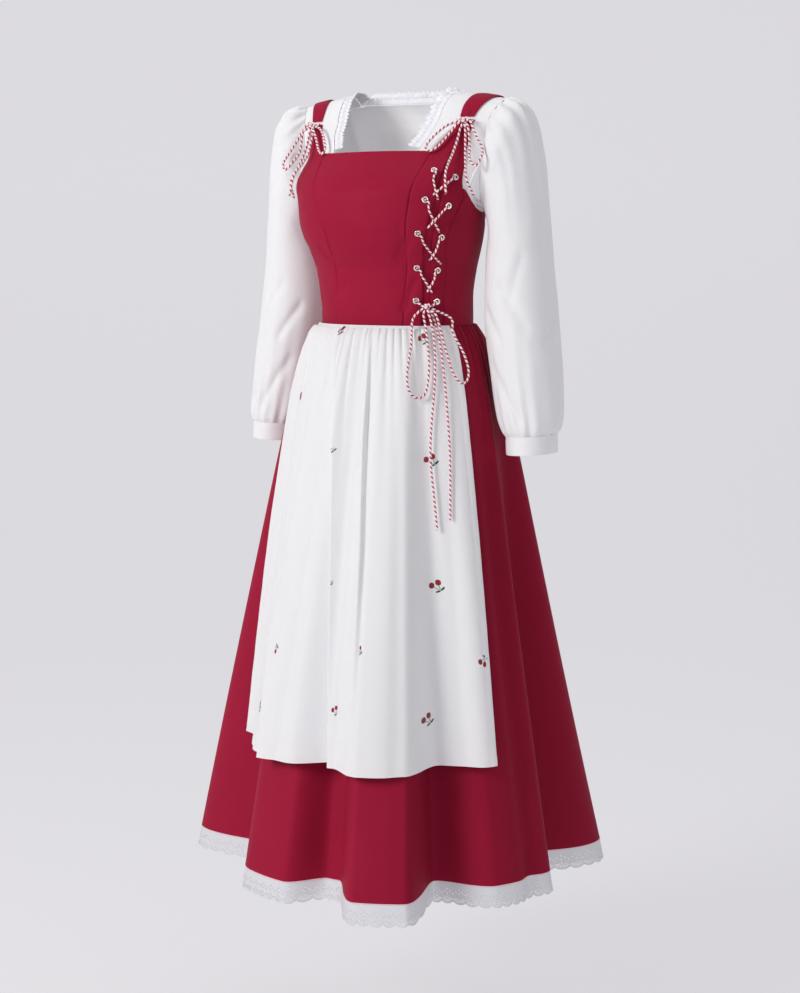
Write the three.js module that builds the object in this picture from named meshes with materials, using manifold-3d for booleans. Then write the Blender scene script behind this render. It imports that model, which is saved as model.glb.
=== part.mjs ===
// A dirndl, filled out as it is worn: a red bodice laced at the wearer's left with a long gathered skirt,
// a white blouse with full sleeves, a white half apron, and twisted cords tied in three bows.
// Millimetres, +Z up, the front faces -Y and the wearer's left is +X. The origin is midway between the
// shoulders, where the garment hangs on its wearer. Every cloth piece is a thin closed wall.
import * as THREE from 'three';
import { mergeVertices } from 'three/addons/utils/BufferGeometryUtils.js';
import Module from 'manifold-3d';

const manifold = await Module();
manifold.setup();

// Driving sizes
const waistZ = -368;
const hemZ = -1249;
const laceDrop = 35;
const wall = 1.3;
const blouseLift = -0.6;
const bodiceLift = 2.6;
const seamGap = 0.35;
const cordRadius = 2.2;
const cordSides = 8;

// The general figure: one row for each level, with the half width, the depths before and behind the
// centre, the centre's shift along Y, and how square the section is in front and behind
const figure = [
  { z: -400, wide: 128, front: 97, back: 97, shift: -10, powerFront: 2.1, powerBack: 2.1 },
  { z: -368, wide: 128, front: 97, back: 97, shift: -10, powerFront: 2.1, powerBack: 2.1 },
  { z: -330, wide: 129, front: 98, back: 98, shift: -12, powerFront: 2.1, powerBack: 2.1 },
  { z: -281, wide: 134, front: 102, back: 102, shift: -13, powerFront: 2.1, powerBack: 2.2 },
  { z: -226, wide: 150, front: 114, back: 110, shift: -24, powerFront: 2.15, powerBack: 2.25 },
  { z: -200, wide: 154, front: 118, back: 112, shift: -27, powerFront: 2.2, powerBack: 2.3 },
  { z: -165, wide: 159, front: 118, back: 116, shift: -29, powerFront: 2.1, powerBack: 2.35 },
  { z: -140, wide: 172, front: 114, back: 112, shift: -22, powerFront: 1.95, powerBack: 2.4 },
  { z: -92, wide: 185, front: 100, back: 92, shift: 4, powerFront: 1.6, powerBack: 2.6 },
  { z: -40, wide: 205, front: 61, back: 65, shift: 14, powerFront: 2, powerBack: 2.6 },
];
const capZ = -40;
const ridge = { y: 22, z: 9, from: 95, slope: 0.17 };

// Seams across the front, by level: how far each is from the middle, and the lacing slit's half width
const princessSeam = [
  { z: -368, right: 58, left: 62 }, { z: -307, right: 54, left: 68 }, { z: -228, right: 57, left: 81 },
  { z: -165, right: 80, left: 91 }, { z: -125, right: 94, left: 96 }, { z: -92, right: 102, left: 100 },
  { z: -66, right: 118, left: 116 }, { z: -42, right: 128, left: 131 },
];
const lacingLine = [
  { z: -368, x: 91, half: 4 }, { z: -328, x: 94.5, half: 5 }, { z: -275, x: 98.5, half: 5.3 },
  { z: -246, x: 105.5, half: 5.3 }, { z: -202, x: 118.5, half: 5 }, { z: -156, x: 128, half: 3.5 },
  { z: -128, x: 129, half: 2 }, { z: -104, x: 127.5, half: 0.6 }, { z: -92, x: 128, half: 0.25 },
  { z: -66, x: 133, half: 0.25 }, { z: -42, x: 142, half: 0.25 },
];
const outerSeam = [
  { z: -368, x: 112 }, { z: -330, x: 114 }, { z: -253, x: 124 }, { z: -213, x: 136 }, { z: -180, x: 147 },
  { z: -150, x: 154 }, { z: -110, x: 150 }, { z: -92, x: 147 }, { z: -66, x: 149.5 }, { z: -42, x: 153 },
];

// Levels of the bodice and of the blouse inside it; the neckline, the tabs and the back stop at one
const bodiceLevels = [-368, -328, -301, -275, -249, -222, -197, -172, -150, -128, -110, -92, -66, -42];
const neckTopZ = -92;
const backTopZ = -150;
const blouseHemZ = -249;
const underarmDip = 36;
const backSeamAngle = 128;

// Eyelets: one row for each pair, with each one's place across and level, and its seat off the cloth
const eyeletRows = [
  { inner: 115.8, innerZ: -125.5, outer: 145, outerZ: -135, seat: 0.6 },
  { inner: 111.4, innerZ: -168, outer: 137.6, outerZ: -177, seat: 0.6 },
  { inner: 99, innerZ: -218.5, outer: 126.1, outerZ: -225, seat: 0.6 },
  { inner: 85.9, innerZ: -273, outer: 110.4, outerZ: -277.5, seat: 1 },
  { inner: 81.5, innerZ: -326.8, outer: 106.5, outerZ: -328.3, seat: 0.7 },
];
const eyelet = { outer: 5.2, hole: 2.9, high: 1.1, steps: 8 };

// The skirt's folds at the hem, one row for each crest, slope or hollow, clockwise from the back
const hemFolds = [
  { angle: -180, radius: 264 }, { angle: -155, radius: 345 }, { angle: -133, radius: 262 },
  { angle: -111, radius: 344 }, { angle: -89, radius: 268 }, { angle: -68, radius: 352 },
  { angle: -46, radius: 243 }, { angle: -22, radius: 312 }, { angle: -7, radius: 313 },
  { angle: 4, radius: 264 }, { angle: 8, radius: 264 }, { angle: 18, radius: 353 },
  { angle: 31, radius: 354 }, { angle: 43, radius: 254 }, { angle: 60, radius: 312 },
  { angle: 80, radius: 317 }, { angle: 94, radius: 275 }, { angle: 115, radius: 345 },
  { angle: 137, radius: 265 }, { angle: 159, radius: 342 }, { angle: 180, radius: 264 },
];
const skirt = { columns: 96, gathers: 48, gatherDepth: 3.2, spring: 27, springRun: 0.06, lift: 3.9 };
const gatherFade = [
  { z: -368, depth: 0.75 }, { z: -392, depth: 1 }, { z: -440, depth: 0.75 }, { z: -560, depth: 0.2 },
  { z: -760, depth: 0 }, { z: -1400, depth: 0 },
];
const skirtLevels = [-368.35, -394, -440, -560, -760, -1000, -1249];
const goreCount = 6;
const laceNodes = 4;

// The apron's edges and hem
const apron = {
  columns: 52, gathers: 26, gatherDepth: 3, bandTopZ: -366, bandBottomZ: -373.5, bandColumns: 26,
};
const apronEdge = [
  { z: -368, right: 66, left: -66 }, { z: -500, right: 65, left: -63 }, { z: -760, right: 63, left: -57 },
  { z: -1060, right: 61, left: -50 },
];
const apronLevels = [-373.9, -398, -440, -560, -780, -1056];

// The armhole seam's distance from the middle, by the way over the shoulder: -1 is the chest at the
// level capZ, 0 the ridge of the shoulder, 1 the back, and each further unit is 100 mm of height
const armhole = [
  { way: -2.36, x: 157.3 }, { way: -2.2, x: 158.6 }, { way: -1.9, x: 163 }, { way: -1.5, x: 168 },
  { way: -1, x: 174 }, { way: -0.5, x: 183 }, { way: 0, x: 189 }, { way: 0.5, x: 183 },
  { way: 1, x: 175 }, { way: 1.5, x: 169 }, { way: 1.9, x: 163 }, { way: 2.2, x: 158.6 },
  { way: 2.36, x: 157.3 },
];
const neckEdge = [
  { way: -1.7, x: 77 }, { way: -1.46, x: 81 }, { way: -1.2, x: 92 }, { way: -0.9, x: 97 },
  { way: -0.5, x: 101 }, { way: -0.1, x: 106 }, { way: 0.55, x: 108 },
];
const strapEdge = [
  { way: -0.96, inner: 130, outer: 152 }, { way: -0.8, inner: 130, outer: 156 },
  { way: -0.5, inner: 133, outer: 164 }, { way: -0.2, inner: 138, outer: 171 },
  { way: 0, inner: 143, outer: 175 }, { way: 1, inner: 132, outer: 167 },
  { way: 2.09, inner: 108, outer: 152 },
];

// The sleeve: one row for each ring, with its outer and inner points, half depth and centre
const sleeveRings = [
  { outerX: 206, outerZ: -9, innerX: 165, innerZ: -181, deep: 62, y: 6 },
  { outerX: 224, outerZ: -20, innerX: 167, innerZ: -192, deep: 66, y: 11 },
  { outerX: 241, outerZ: -52, innerX: 168, innerZ: -208, deep: 67, y: 14 },
  { outerX: 252, outerZ: -105, innerX: 168, innerZ: -232, deep: 66, y: 16 },
  { outerX: 260, outerZ: -180, innerX: 165, innerZ: -268, deep: 64, y: 17 },
  { outerX: 267, outerZ: -262, innerX: 162, innerZ: -318, deep: 65, y: 17 },
  { outerX: 276, outerZ: -345, innerX: 165, innerZ: -376, deep: 66, y: 15 },
  { outerX: 286, outerZ: -430, innerX: 177, innerZ: -446, deep: 65, y: 10 },
  { outerX: 292, outerZ: -500, innerX: 190, innerZ: -510, deep: 61, y: 5 },
  { outerX: 289, outerZ: -528, innerX: 200, innerZ: -534, deep: 55, y: 3 },
  { outerX: 283, outerZ: -540, innerX: 208, innerZ: -544, deep: 49, y: 1 },
];
const sleeve = { columns: 26, headDepth: 2.6, cuffDepth: 2.4, seam: 1 };
const cuff = { high: 30, columns: 20, lift: 0.6 };
const neckFrill = { high: 16, waves: 22, wave: 2.6, startWay: -1.46 };

const colours = {
  red: 0x9c1c33, white: 0xf3f2f4, lace: 0xf6f5f6, cord: 0xd8909c, metal: 0xd9cdc6,
};
const finish = {
  red: new THREE.MeshStandardMaterial({ color: colours.red, roughness: 0.72, metalness: 0 }),
  white: new THREE.MeshStandardMaterial({ color: colours.white, roughness: 0.8, metalness: 0 }),
  lace: new THREE.MeshStandardMaterial({ color: colours.lace, roughness: 0.85, metalness: 0 }),
  cord: new THREE.MeshStandardMaterial({ color: colours.cord, roughness: 0.8, metalness: 0 }),
  metal: new THREE.MeshStandardMaterial({ color: colours.metal, roughness: 0.3, metalness: 1 }),
};

// Reading a table: a smooth curve through one column that never overshoots its rows
const radians = (degrees) => degrees * Math.PI / 180;
const mix = (a, b, t) => a + (b - a) * t;
const clamp = (value, low, high) => Math.min(high, Math.max(low, value));
const easeIn = (t) => { const c = clamp(t, 0, 1); return c * c * (3 - 2 * c); };

function rise(rows, key, column, i) {
  return (rows[i + 1][column] - rows[i][column]) / (rows[i + 1][key] - rows[i][key]);
}

function slope(rows, key, column, i) {
  if (i === 0) return rise(rows, key, column, 0);
  if (i === rows.length - 1) return rise(rows, key, column, i - 1);
  const before = rise(rows, key, column, i - 1);
  const after = rise(rows, key, column, i);
  return before * after <= 0 ? 0 : 2 * before * after / (before + after);
}

function read(rows, key, column, at) {
  const ordered = rows[0][key] < rows[rows.length - 1][key] ? rows : [...rows].reverse();
  const value = clamp(at, ordered[0][key], ordered[ordered.length - 1][key]);
  let i = 0;
  while (i < ordered.length - 2 && value > ordered[i + 1][key]) i += 1;
  const span = ordered[i + 1][key] - ordered[i][key];
  const t = (value - ordered[i][key]) / span;
  const a = ordered[i][column];
  const b = ordered[i + 1][column];
  const ma = slope(ordered, key, column, i) * span;
  const mb = slope(ordered, key, column, i + 1) * span;
  const t2 = t * t;
  const t3 = t2 * t;
  return (2 * t3 - 3 * t2 + 1) * a + (t3 - 2 * t2 + t) * ma + (3 * t2 - 2 * t3) * b + (t3 - t2) * mb;
}

// The figure's surface at an angle round it, 0 at the front and 90 degrees at the wearer's left
function figureAt(angle, z) {
  const row = (column) => read(figure, 'z', column, z);
  const s = Math.sin(angle);
  const c = Math.cos(angle);
  const power = 2 / (c >= 0 ? row('powerFront') : row('powerBack'));
  const depth = c >= 0 ? -row('front') : row('back');
  return new THREE.Vector3(
    row('wide') * Math.sign(s) * Math.abs(s) ** power, row('shift') + depth * Math.abs(c) ** power, z,
  );
}

// The angle at which the front of the figure is x from the middle
function angleOf(x, z) {
  const share = clamp(Math.abs(x) / read(figure, 'z', 'wide', z), 0, 1);
  return Math.sign(x) * Math.asin(share ** (read(figure, 'z', 'powerFront', z) / 2));
}

function depthAt(x, z, behind) {
  const power = read(figure, 'z', behind ? 'powerBack' : 'powerFront', z);
  const share = clamp(Math.abs(x) / read(figure, 'z', 'wide', z), 0, 1);
  const depth = (1 - share ** power) ** (1 / power) * read(figure, 'z', behind ? 'back' : 'front', z);
  return read(figure, 'z', 'shift', z) + (behind ? depth : -depth);
}

// The figure's surface by distance from the middle and the way over the shoulder
function shoulderAt(x, way) {
  const behind = way > 0;
  const reach = Math.abs(way);
  const z = capZ - Math.max(0, reach - 1) * 100;
  if (reach >= 1) return new THREE.Vector3(x, depthAt(x, z, behind), z);
  const top = ridge.z - ridge.slope * Math.max(0, Math.abs(x) - ridge.from);
  const low = depthAt(x, capZ, behind);
  const bendY = mix(low, ridge.y, 0.34);
  const t = 1 - reach;
  const y = (1 - t) ** 2 * low + 2 * t * (1 - t) * bendY + t * t * ridge.y;
  return new THREE.Vector3(x, y, (1 - t) ** 2 * capZ + 2 * t * (1 - t) * top + t * t * top);
}

// A point of a surface moved out along its normal; the surface takes two numbers from 0 to 1
function lifted(surface, u, v, out) {
  const d = 0.002;
  const at = surface(u, v);
  const along = surface(Math.min(1, u + d), v).sub(surface(Math.max(0, u - d), v));
  const up = surface(u, Math.min(1, v + d)).sub(surface(u, Math.max(0, v - d)));
  const normal = along.cross(up).normalize().multiplyScalar(out);
  return at.add(normal);
}

// Closed solids from rings of points
function solidFrom(points, faces) {
  const shape = new THREE.BufferGeometry();
  shape.setAttribute('position', new THREE.Float32BufferAttribute(points.flatMap((p) => [p.x, p.y, p.z]), 3));
  shape.setIndex(faces.flat());
  shape.computeVertexNormals();
  return shape;
}

function volume(points, faces) {
  return faces.reduce((sum, [a, b, c]) => sum + points[a].dot(points[b].clone().cross(points[c])), 0);
}

// Triangles between two lines of points whose counts may differ
function strip(lower, upper, faces) {
  let i = 0;
  let j = 0;
  while (i < lower.length - 1 || j < upper.length - 1) {
    const nextLower = (i + 1) / (lower.length - 1);
    const nextUpper = (j + 1) / (upper.length - 1);
    if (j === upper.length - 1 || (i < lower.length - 1 && nextLower <= nextUpper + 1e-9)) {
      faces.push([lower[i], lower[i + 1], upper[j]]);
      i += 1;
    } else {
      faces.push([lower[i], upper[j + 1], upper[j]]);
      j += 1;
    }
  }
}

// A cloth wall: for each row, the outer and the inner line of points. Closed rows join round a tube
function cloth(rows, closed = false) {
  const points = [];
  const faces = [];
  const put = (line) => line.map((p) => points.push(p) - 1);
  const outer = rows.map((row) => put(row.outer));
  const inner = rows.map((row) => put(row.inner));
  const round = (line) => (closed ? [...line, line[0]] : line);
  for (let k = 0; k < rows.length - 1; k += 1) {
    strip(round(outer[k]), round(outer[k + 1]), faces);
    const back = [];
    strip(round(inner[k]), round(inner[k + 1]), back);
    back.forEach(([a, b, c]) => faces.push([a, c, b]));
  }
  const rim = (out, into) => {
    const o = round(out);
    const n = round(into);
    for (let i = 0; i < o.length - 1; i += 1) {
      faces.push([o[i], n[i], n[i + 1]], [o[i], n[i + 1], o[i + 1]]);
    }
  };
  rim(outer[0], inner[0]);
  rim([...outer[rows.length - 1]].reverse(), [...inner[rows.length - 1]].reverse());
  if (!closed) {
    rim(outer.map((line) => line[0]).reverse(), inner.map((line) => line[0]).reverse());
    rim(outer.map((line) => line[line.length - 1]), inner.map((line) => line[line.length - 1]));
  }
  if (volume(points, faces) < 0) faces.forEach((f) => f.reverse());
  return solidFrom(points, faces);
}

// A panel of a surface, lifted off it: a wall with its cells between the given shares of the way up
function panel(surface, columns, shares, lift, thick = wall) {
  const liftAt = typeof lift === 'function' ? lift : () => lift;
  const lines = shares.map((v) => {
    const line = { outer: [], inner: [] };
    for (let i = 0; i <= columns; i += 1) {
      const u = i / columns;
      line.outer.push(lifted(surface, u, v, liftAt(u, v) + thick));
      line.inner.push(lifted(surface, u, v, liftAt(u, v)));
    }
    return line;
  });
  return cloth(lines);
}

const evenly = (rows) => Array.from({ length: rows + 1 }, (_, k) => k / rows);
const between = (from, to) => (value) => (value - from) / (to - from);

// The same piece with its sides swapped left and right
function mirrored(shape) {
  const copy = shape.index ? shape.toNonIndexed() : shape.clone();
  copy.scale(-1, 1, 1);
  const place = copy.getAttribute('position');
  const first = new THREE.Vector3();
  const second = new THREE.Vector3();
  for (let i = 0; i < place.count; i += 3) {
    first.fromBufferAttribute(place, i);
    second.fromBufferAttribute(place, i + 1);
    place.setXYZ(i, second.x, second.y, second.z);
    place.setXYZ(i + 1, first.x, first.y, first.z);
  }
  copy.computeVertexNormals();
  return copy;
}

const dirndl = new THREE.Group();

function add(name, shape, material) {
  const mesh = new THREE.Mesh(shape, material);
  mesh.name = name;
  dirndl.add(mesh);
  return mesh;
}

// Joins and cuts
function toManifold(shape) {
  const bare = shape.clone();
  bare.deleteAttribute('normal');
  bare.deleteAttribute('uv');
  const merged = mergeVertices(bare, 1e-4);
  return new manifold.Manifold(new manifold.Mesh({
    numProp: 3,
    vertProperties: new Float32Array(merged.attributes.position.array),
    triVerts: new Uint32Array(merged.index.array),
  }));
}

function fromManifold(solid) {
  const mesh = solid.getMesh();
  const shape = new THREE.BufferGeometry();
  shape.setAttribute('position', new THREE.BufferAttribute(new Float32Array(mesh.vertProperties), 3));
  shape.setIndex(Array.from(mesh.triVerts));
  return shape;
}

// Bodice: how far its inner face stands off the figure; it rises a little over the placket
function bodiceOut(x, y, z) {
  const line = read(lacingLine, 'z', 'x', z);
  const away = x > 0 && y < 20 ? (x - line) / 26 : 9;
  return bodiceLift + 1.9 * Math.exp(-away * away);
}

function bodicePanel(leftAngle, rightAngle, topZ, columns, dip = () => 0) {
  const surface = (u, v) => {
    const level = mix(waistZ, topZ, v);
    const z = level - dip(u) * easeIn(between(-301, topZ)(level));
    return figureAt(mix(leftAngle(level), rightAngle(level), u), z);
  };
  const out = (u, v) => {
    const p = surface(u, v);
    return bodiceOut(p.x, p.y, p.z);
  };
  const shares = bodiceLevels.filter((z) => z <= topZ).map(between(waistZ, topZ));
  return panel(surface, columns, shares, out);
}

const gapAngle = seamGap / 2 / 130;
const seamAngle = (table, side, column = 'x') => (z) => angleOf(side * read(table, 'z', column, z), z);
const shifted = (angle, by) => (z) => angle(z) + by;

function lacingAngle(side) {
  return (z) => angleOf(read(lacingLine, 'z', 'x', z) + side * read(lacingLine, 'z', 'half', z), z);
}

// A place on the bodice's outer face, and one off it
function onBodice(x, z, out) {
  const base = (u, v) => figureAt(angleOf(x + (u - 0.5) * 4, z + (v - 0.5) * 4), z + (v - 0.5) * 4);
  const at = base(0.5, 0.5);
  return lifted(base, 0.5, 0.5, bodiceOut(at.x, at.y, z) + wall + out);
}

function placed(shape, from, to) {
  const turn = new THREE.Quaternion().setFromUnitVectors(
    new THREE.Vector3(0, 1, 0), to.clone().sub(from).normalize(),
  );
  shape.applyQuaternion(turn);
  shape.translate(from.x, from.y, from.z);
  return shape;
}

function withEyeletHoles(shape, edge) {
  const bored = eyeletRows.reduce((solid, row) => {
    const bore = new THREE.CylinderGeometry(eyelet.hole, eyelet.hole, 10, eyelet.steps);
    const from = onBodice(row[edge], row[`${edge}Z`], 0);
    const to = onBodice(row[edge], row[`${edge}Z`], 1);
    return solid.subtract(toManifold(placed(bore, from, to)));
  }, toManifold(shape));
  return fromManifold(bored);
}

function makeBodice() {
  const princessLeft = seamAngle(princessSeam, 1, 'left');
  const princessRight = seamAngle(princessSeam, -1, 'right');
  const outerLeft = seamAngle(outerSeam, 1);
  const outerRight = seamAngle(outerSeam, -1);
  const tabTopZ = bodiceLevels[bodiceLevels.length - 1];
  add('bodice_front', bodicePanel(
    shifted(princessRight, gapAngle), shifted(princessLeft, -gapAngle), neckTopZ, 10,
  ), finish.red);
  add('bodice_side_front_right', bodicePanel(
    shifted(outerRight, gapAngle), shifted(princessRight, -gapAngle), tabTopZ, 3,
  ), finish.red);
  add('bodice_lacing_inner_left', withEyeletHoles(bodicePanel(
    shifted(princessLeft, gapAngle), lacingAngle(-1), tabTopZ, 2,
  ), 'inner'), finish.red);
  add('bodice_lacing_outer_left', withEyeletHoles(bodicePanel(
    lacingAngle(1), shifted(outerLeft, -gapAngle), tabTopZ, 2,
  ), 'outer'), finish.red);

  // The side panels run from the outer seam, under the arm, to the back seam
  const dip = (u) => underarmDip * Math.sin(Math.PI * u) ** 1.5;
  const side = bodicePanel(
    shifted(outerLeft, gapAngle), () => radians(backSeamAngle) - gapAngle, backTopZ, 6, dip,
  );
  const sideRight = bodicePanel(
    () => -radians(backSeamAngle) + gapAngle, shifted(outerRight, -gapAngle), backTopZ, 6, dip,
  );
  add('bodice_side_left', side, finish.red);
  add('bodice_side_right', sideRight, finish.red);
  add('bodice_back', bodicePanel(
    () => radians(backSeamAngle) + gapAngle, () => radians(360 - backSeamAngle) - gapAngle, backTopZ, 8,
  ), finish.red);

  // The placket behind the lacing
  const top = -110;
  const placket = (u, v) => {
    const z = mix(waistZ, top, v);
    const line = read(lacingLine, 'z', 'x', z);
    return figureAt(angleOf(line + mix(-13, 13, u), z), z);
  };
  const shares = bodiceLevels.filter((z) => z <= top).map(between(waistZ, top));
  add('lacing_placket', panel(placket, 2, shares, blouseLift + wall + 0.8, 1), finish.red);
}

function makeStraps() {
  const ends = { front: strapEdge[0].way, back: strapEdge[strapEdge.length - 1].way };
  const surface = (u, v) => {
    const way = mix(ends.front, ends.back, v);
    const edge = (column) => read(strapEdge, 'way', column, way);
    return shoulderAt(mix(edge('inner'), edge('outer'), u), way);
  };
  const strap = panel(surface, 3, evenly(12), bodiceLift);
  add('strap_left', strap, finish.red);
  add('strap_right', mirrored(strap), finish.red);
}

// Blouse
const wayOf = (z, side) => side * (1 + (capZ - z) / 100);

function blouseEdge(way) {
  return read(armhole, 'way', 'x', clamp(way, -2.36, 2.36)) - seamGap;
}

function blouseBody(side, topWay, columns, shares) {
  const hemWay = wayOf(blouseHemZ, side);
  const surface = (u, v) => {
    const way = mix(hemWay, topWay, v);
    const turn = -side * (u - 0.5) * Math.PI * 0.9985;
    const level = capZ - Math.max(0, Math.abs(way) - 1) * 100;
    if (Math.abs(way) > 2.36) {
      return figureAt(side < 0 ? turn : Math.PI - turn, level);
    }
    const power = 2 / read(figure, 'z', side < 0 ? 'powerFront' : 'powerBack', level);
    return shoulderAt(blouseEdge(way) * Math.sign(Math.sin(turn)) * Math.abs(Math.sin(turn)) ** power, way);
  };
  return panel(surface, columns, shares, blouseLift);
}

function makeBlouse() {
  const frontTop = wayOf(-110, -1);
  const backTop = 0.56;
  const frontShares = bodiceLevels.filter((z) => z >= blouseHemZ && z <= -110)
    .map((z) => between(wayOf(blouseHemZ, -1), frontTop)(wayOf(z, -1)));
  const backLevels = [-249, -222, -197, -172, -150, -120, -90, -60];
  const backWays = backLevels.map((z) => wayOf(z, 1)).concat(0.8, backTop);
  const backShares = backWays.map(between(wayOf(blouseHemZ, 1), backTop));
  add('blouse_front', blouseBody(-1, frontTop, 14, frontShares), finish.white);
  add('blouse_back', blouseBody(1, backTop, 10, backShares), finish.white);
  const yoke = (u, v) => {
    const way = mix(frontTop + 0.005, backTop - 0.01, v);
    return shoulderAt(mix(read(neckEdge, 'way', 'x', way), blouseEdge(way), u), way);
  };
  const yokeShape = panel(yoke, 4, evenly(10), blouseLift);
  add('blouse_yoke_left', yokeShape, finish.white);
  add('blouse_yoke_right', mirrored(yokeShape), finish.white);
}

// The frill round the blouse's neck: up one side, along the back and down the other
function neckPoint(t) {
  const side = t < 0.4 ? -1 : 1;
  const run = t < 0.4 ? t / 0.4 : (1 - t) / 0.4;
  if (t >= 0.4 && t <= 0.6) {
    const x = mix(-107, 107, (t - 0.4) / 0.2);
    return { at: shoulderAt(x, 0.56), lean: new THREE.Vector3(0, 0.25, 1) };
  }
  const way = mix(neckFrill.startWay, 0.55, run);
  const x = side * read(neckEdge, 'way', 'x', way);
  return { at: shoulderAt(x, way), lean: new THREE.Vector3(-side * 0.85, 0.25, 0.6) };
}

function makeNeckFrill() {
  const columns = neckFrill.waves * 3;
  const low = { outer: [], inner: [] };
  const high = { outer: [], inner: [] };
  for (let i = 0; i <= columns; i += 1) {
    const t = i / columns;
    const here = neckPoint(t);
    const soft = [-0.02, -0.01, 0, 0.01, 0.02].map((d) => neckPoint(clamp(t + d, 0, 1)).lean);
    const lean = soft.reduce((sum, l) => sum.add(l), new THREE.Vector3()).normalize();
    const along = neckPoint(Math.min(1, t + 0.004)).at.sub(neckPoint(Math.max(0, t - 0.004)).at).normalize();
    const face = along.clone().cross(lean).normalize();
    const wave = Math.cos((i % 3) * 2 * Math.PI / 3) * neckFrill.wave;
    const foot = here.at.clone().addScaledVector(lean, 1.5);
    const tip = here.at.clone().addScaledVector(lean, neckFrill.high + (i % 3 === 0 ? 1 : 0))
      .addScaledVector(face, wave);
    low.outer.push(foot.clone().addScaledVector(face, 0.5));
    low.inner.push(foot.clone().addScaledVector(face, -0.5));
    high.outer.push(tip.clone().addScaledVector(face, 0.5));
    high.inner.push(tip.clone().addScaledVector(face, -0.5));
  }
  add('blouse_neck_frill', cloth([low, high]), finish.lace);
}

// Sleeves
function sleeveRing(k, turn) {
  const way = -2.36 * turn / Math.PI;
  const seam = shoulderAt(read(armhole, 'way', 'x', way) + sleeve.seam, way);
  if (k === 0) return seam;
  const row = sleeveRings[k - 1];
  const outer = new THREE.Vector3(row.outerX, row.y, row.outerZ);
  const inner = new THREE.Vector3(row.innerX, row.y, row.innerZ);
  const middle = outer.clone().add(inner).multiplyScalar(0.5);
  const reach = outer.clone().sub(middle);
  const point = middle.addScaledVector(reach, Math.cos(turn));
  point.y -= row.deep * Math.sin(turn);
  return k === 1 ? point.lerp(seam, 0.3) : point;
}

function sleeveGather(k, turn) {
  const last = sleeveRings.length;
  const head = [0.7, 1, 0.9, 0.6, 0.25, 0][k] ?? 0;
  const end = [0.8, 1, 0.75, 0.35, 0][last - k] ?? 0;
  const top = easeIn((Math.cos(turn) + 0.15) / 0.6);
  return head * top * sleeve.headDepth + end * sleeve.cuffDepth;
}

function makeSleeve() {
  const lines = [];
  for (let k = 0; k <= sleeveRings.length; k += 1) {
    const line = { outer: [], inner: [] };
    const centre = new THREE.Vector3();
    for (let i = 0; i < sleeve.columns; i += 1) {
      centre.add(sleeveRing(k, 2 * Math.PI * i / sleeve.columns - Math.PI));
    }
    centre.divideScalar(sleeve.columns);
    for (let i = 0; i < sleeve.columns; i += 1) {
      const turn = 2 * Math.PI * i / sleeve.columns - Math.PI;
      const point = sleeveRing(k, turn);
      const away = point.clone().sub(centre).normalize();
      const fold = sleeveGather(k, turn) * (i % 2 === 0 ? 0.5 : -0.5);
      const lift = k === 0 ? 0.3 : 0;
      line.inner.push(point.clone().addScaledVector(away, fold + lift));
      line.outer.push(point.clone().addScaledVector(away, fold + lift + wall));
    }
    lines.push(line);
  }
  return cloth(lines, true);
}

function makeCuff() {
  const row = sleeveRings[sleeveRings.length - 1];
  const lines = [0, 1].map((k) => {
    const line = { outer: [], inner: [] };
    for (let i = 0; i < cuff.columns; i += 1) {
      const turn = 2 * Math.PI * i / cuff.columns;
      const half = (row.outerX - row.innerX) / 2 + cuff.lift;
      const x = (row.outerX + row.innerX) / 2 + half * Math.cos(turn) + k * 1.5;
      const tilt = (row.outerZ - row.innerZ) / 2 * Math.cos(turn);
      const z = (row.outerZ + row.innerZ) / 2 + tilt - 0.4 - k * cuff.high;
      const y = row.y - (row.deep + cuff.lift) * Math.sin(turn);
      const away = new THREE.Vector3(Math.cos(turn), -Math.sin(turn), 0);
      line.inner.push(new THREE.Vector3(x, y, z));
      line.outer.push(new THREE.Vector3(x, y, z).addScaledVector(away, wall + 0.4));
    }
    return line;
  });
  return cloth(lines, true);
}

function makeSleeves() {
  const shape = makeSleeve();
  add('sleeve_left', shape, finish.white);
  add('sleeve_right', mirrored(shape), finish.white);
  const band = makeCuff();
  add('cuff_left', band, finish.white);
  add('cuff_right', mirrored(band), finish.white);
}

// Skirt: from the waist's ring the cloth springs out over the gathers and falls in folds to the hem
function underApron(angle) {
  const degrees = angle * 180 / Math.PI;
  return easeIn((66 - Math.abs(degrees)) / 8);
}

function skirtRadius(angle, z, gather) {
  const degrees = ((angle * 180 / Math.PI + 540) % 360) - 180;
  const t = clamp((waistZ - z) / (waistZ - hemZ), 0, 1.05);
  const top = figureAt(angle, waistZ);
  const waist = Math.hypot(top.x, top.y) + skirt.lift;
  const hem = read(hemFolds, 'angle', 'radius', degrees) - skirt.spring;
  const spring = skirt.spring * (1 - Math.exp(-t / skirt.springRun));
  const fade = read(gatherFade, 'z', 'depth', z) * mix(1, 0.3, underApron(radians(degrees)));
  return mix(waist, hem, t) + spring + skirt.gatherDepth * fade * gather;
}

function skirtAt(angle, z, gather = 0, out = 0) {
  const r = skirtRadius(angle, z, gather) + out;
  return new THREE.Vector3(r * Math.sin(angle), -r * Math.cos(angle), z);
}

// A point of the skirt and the same point moved in or out square to the cloth, in plan
function skirtWall(angle, z, gather, out) {
  const d = 0.004;
  const at = skirtAt(angle, z, gather);
  const along = skirtAt(angle + d, z, gather).sub(skirtAt(angle - d, z, gather)).normalize();
  return at.add(new THREE.Vector3(along.y, -along.x, 0).multiplyScalar(out));
}

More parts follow.
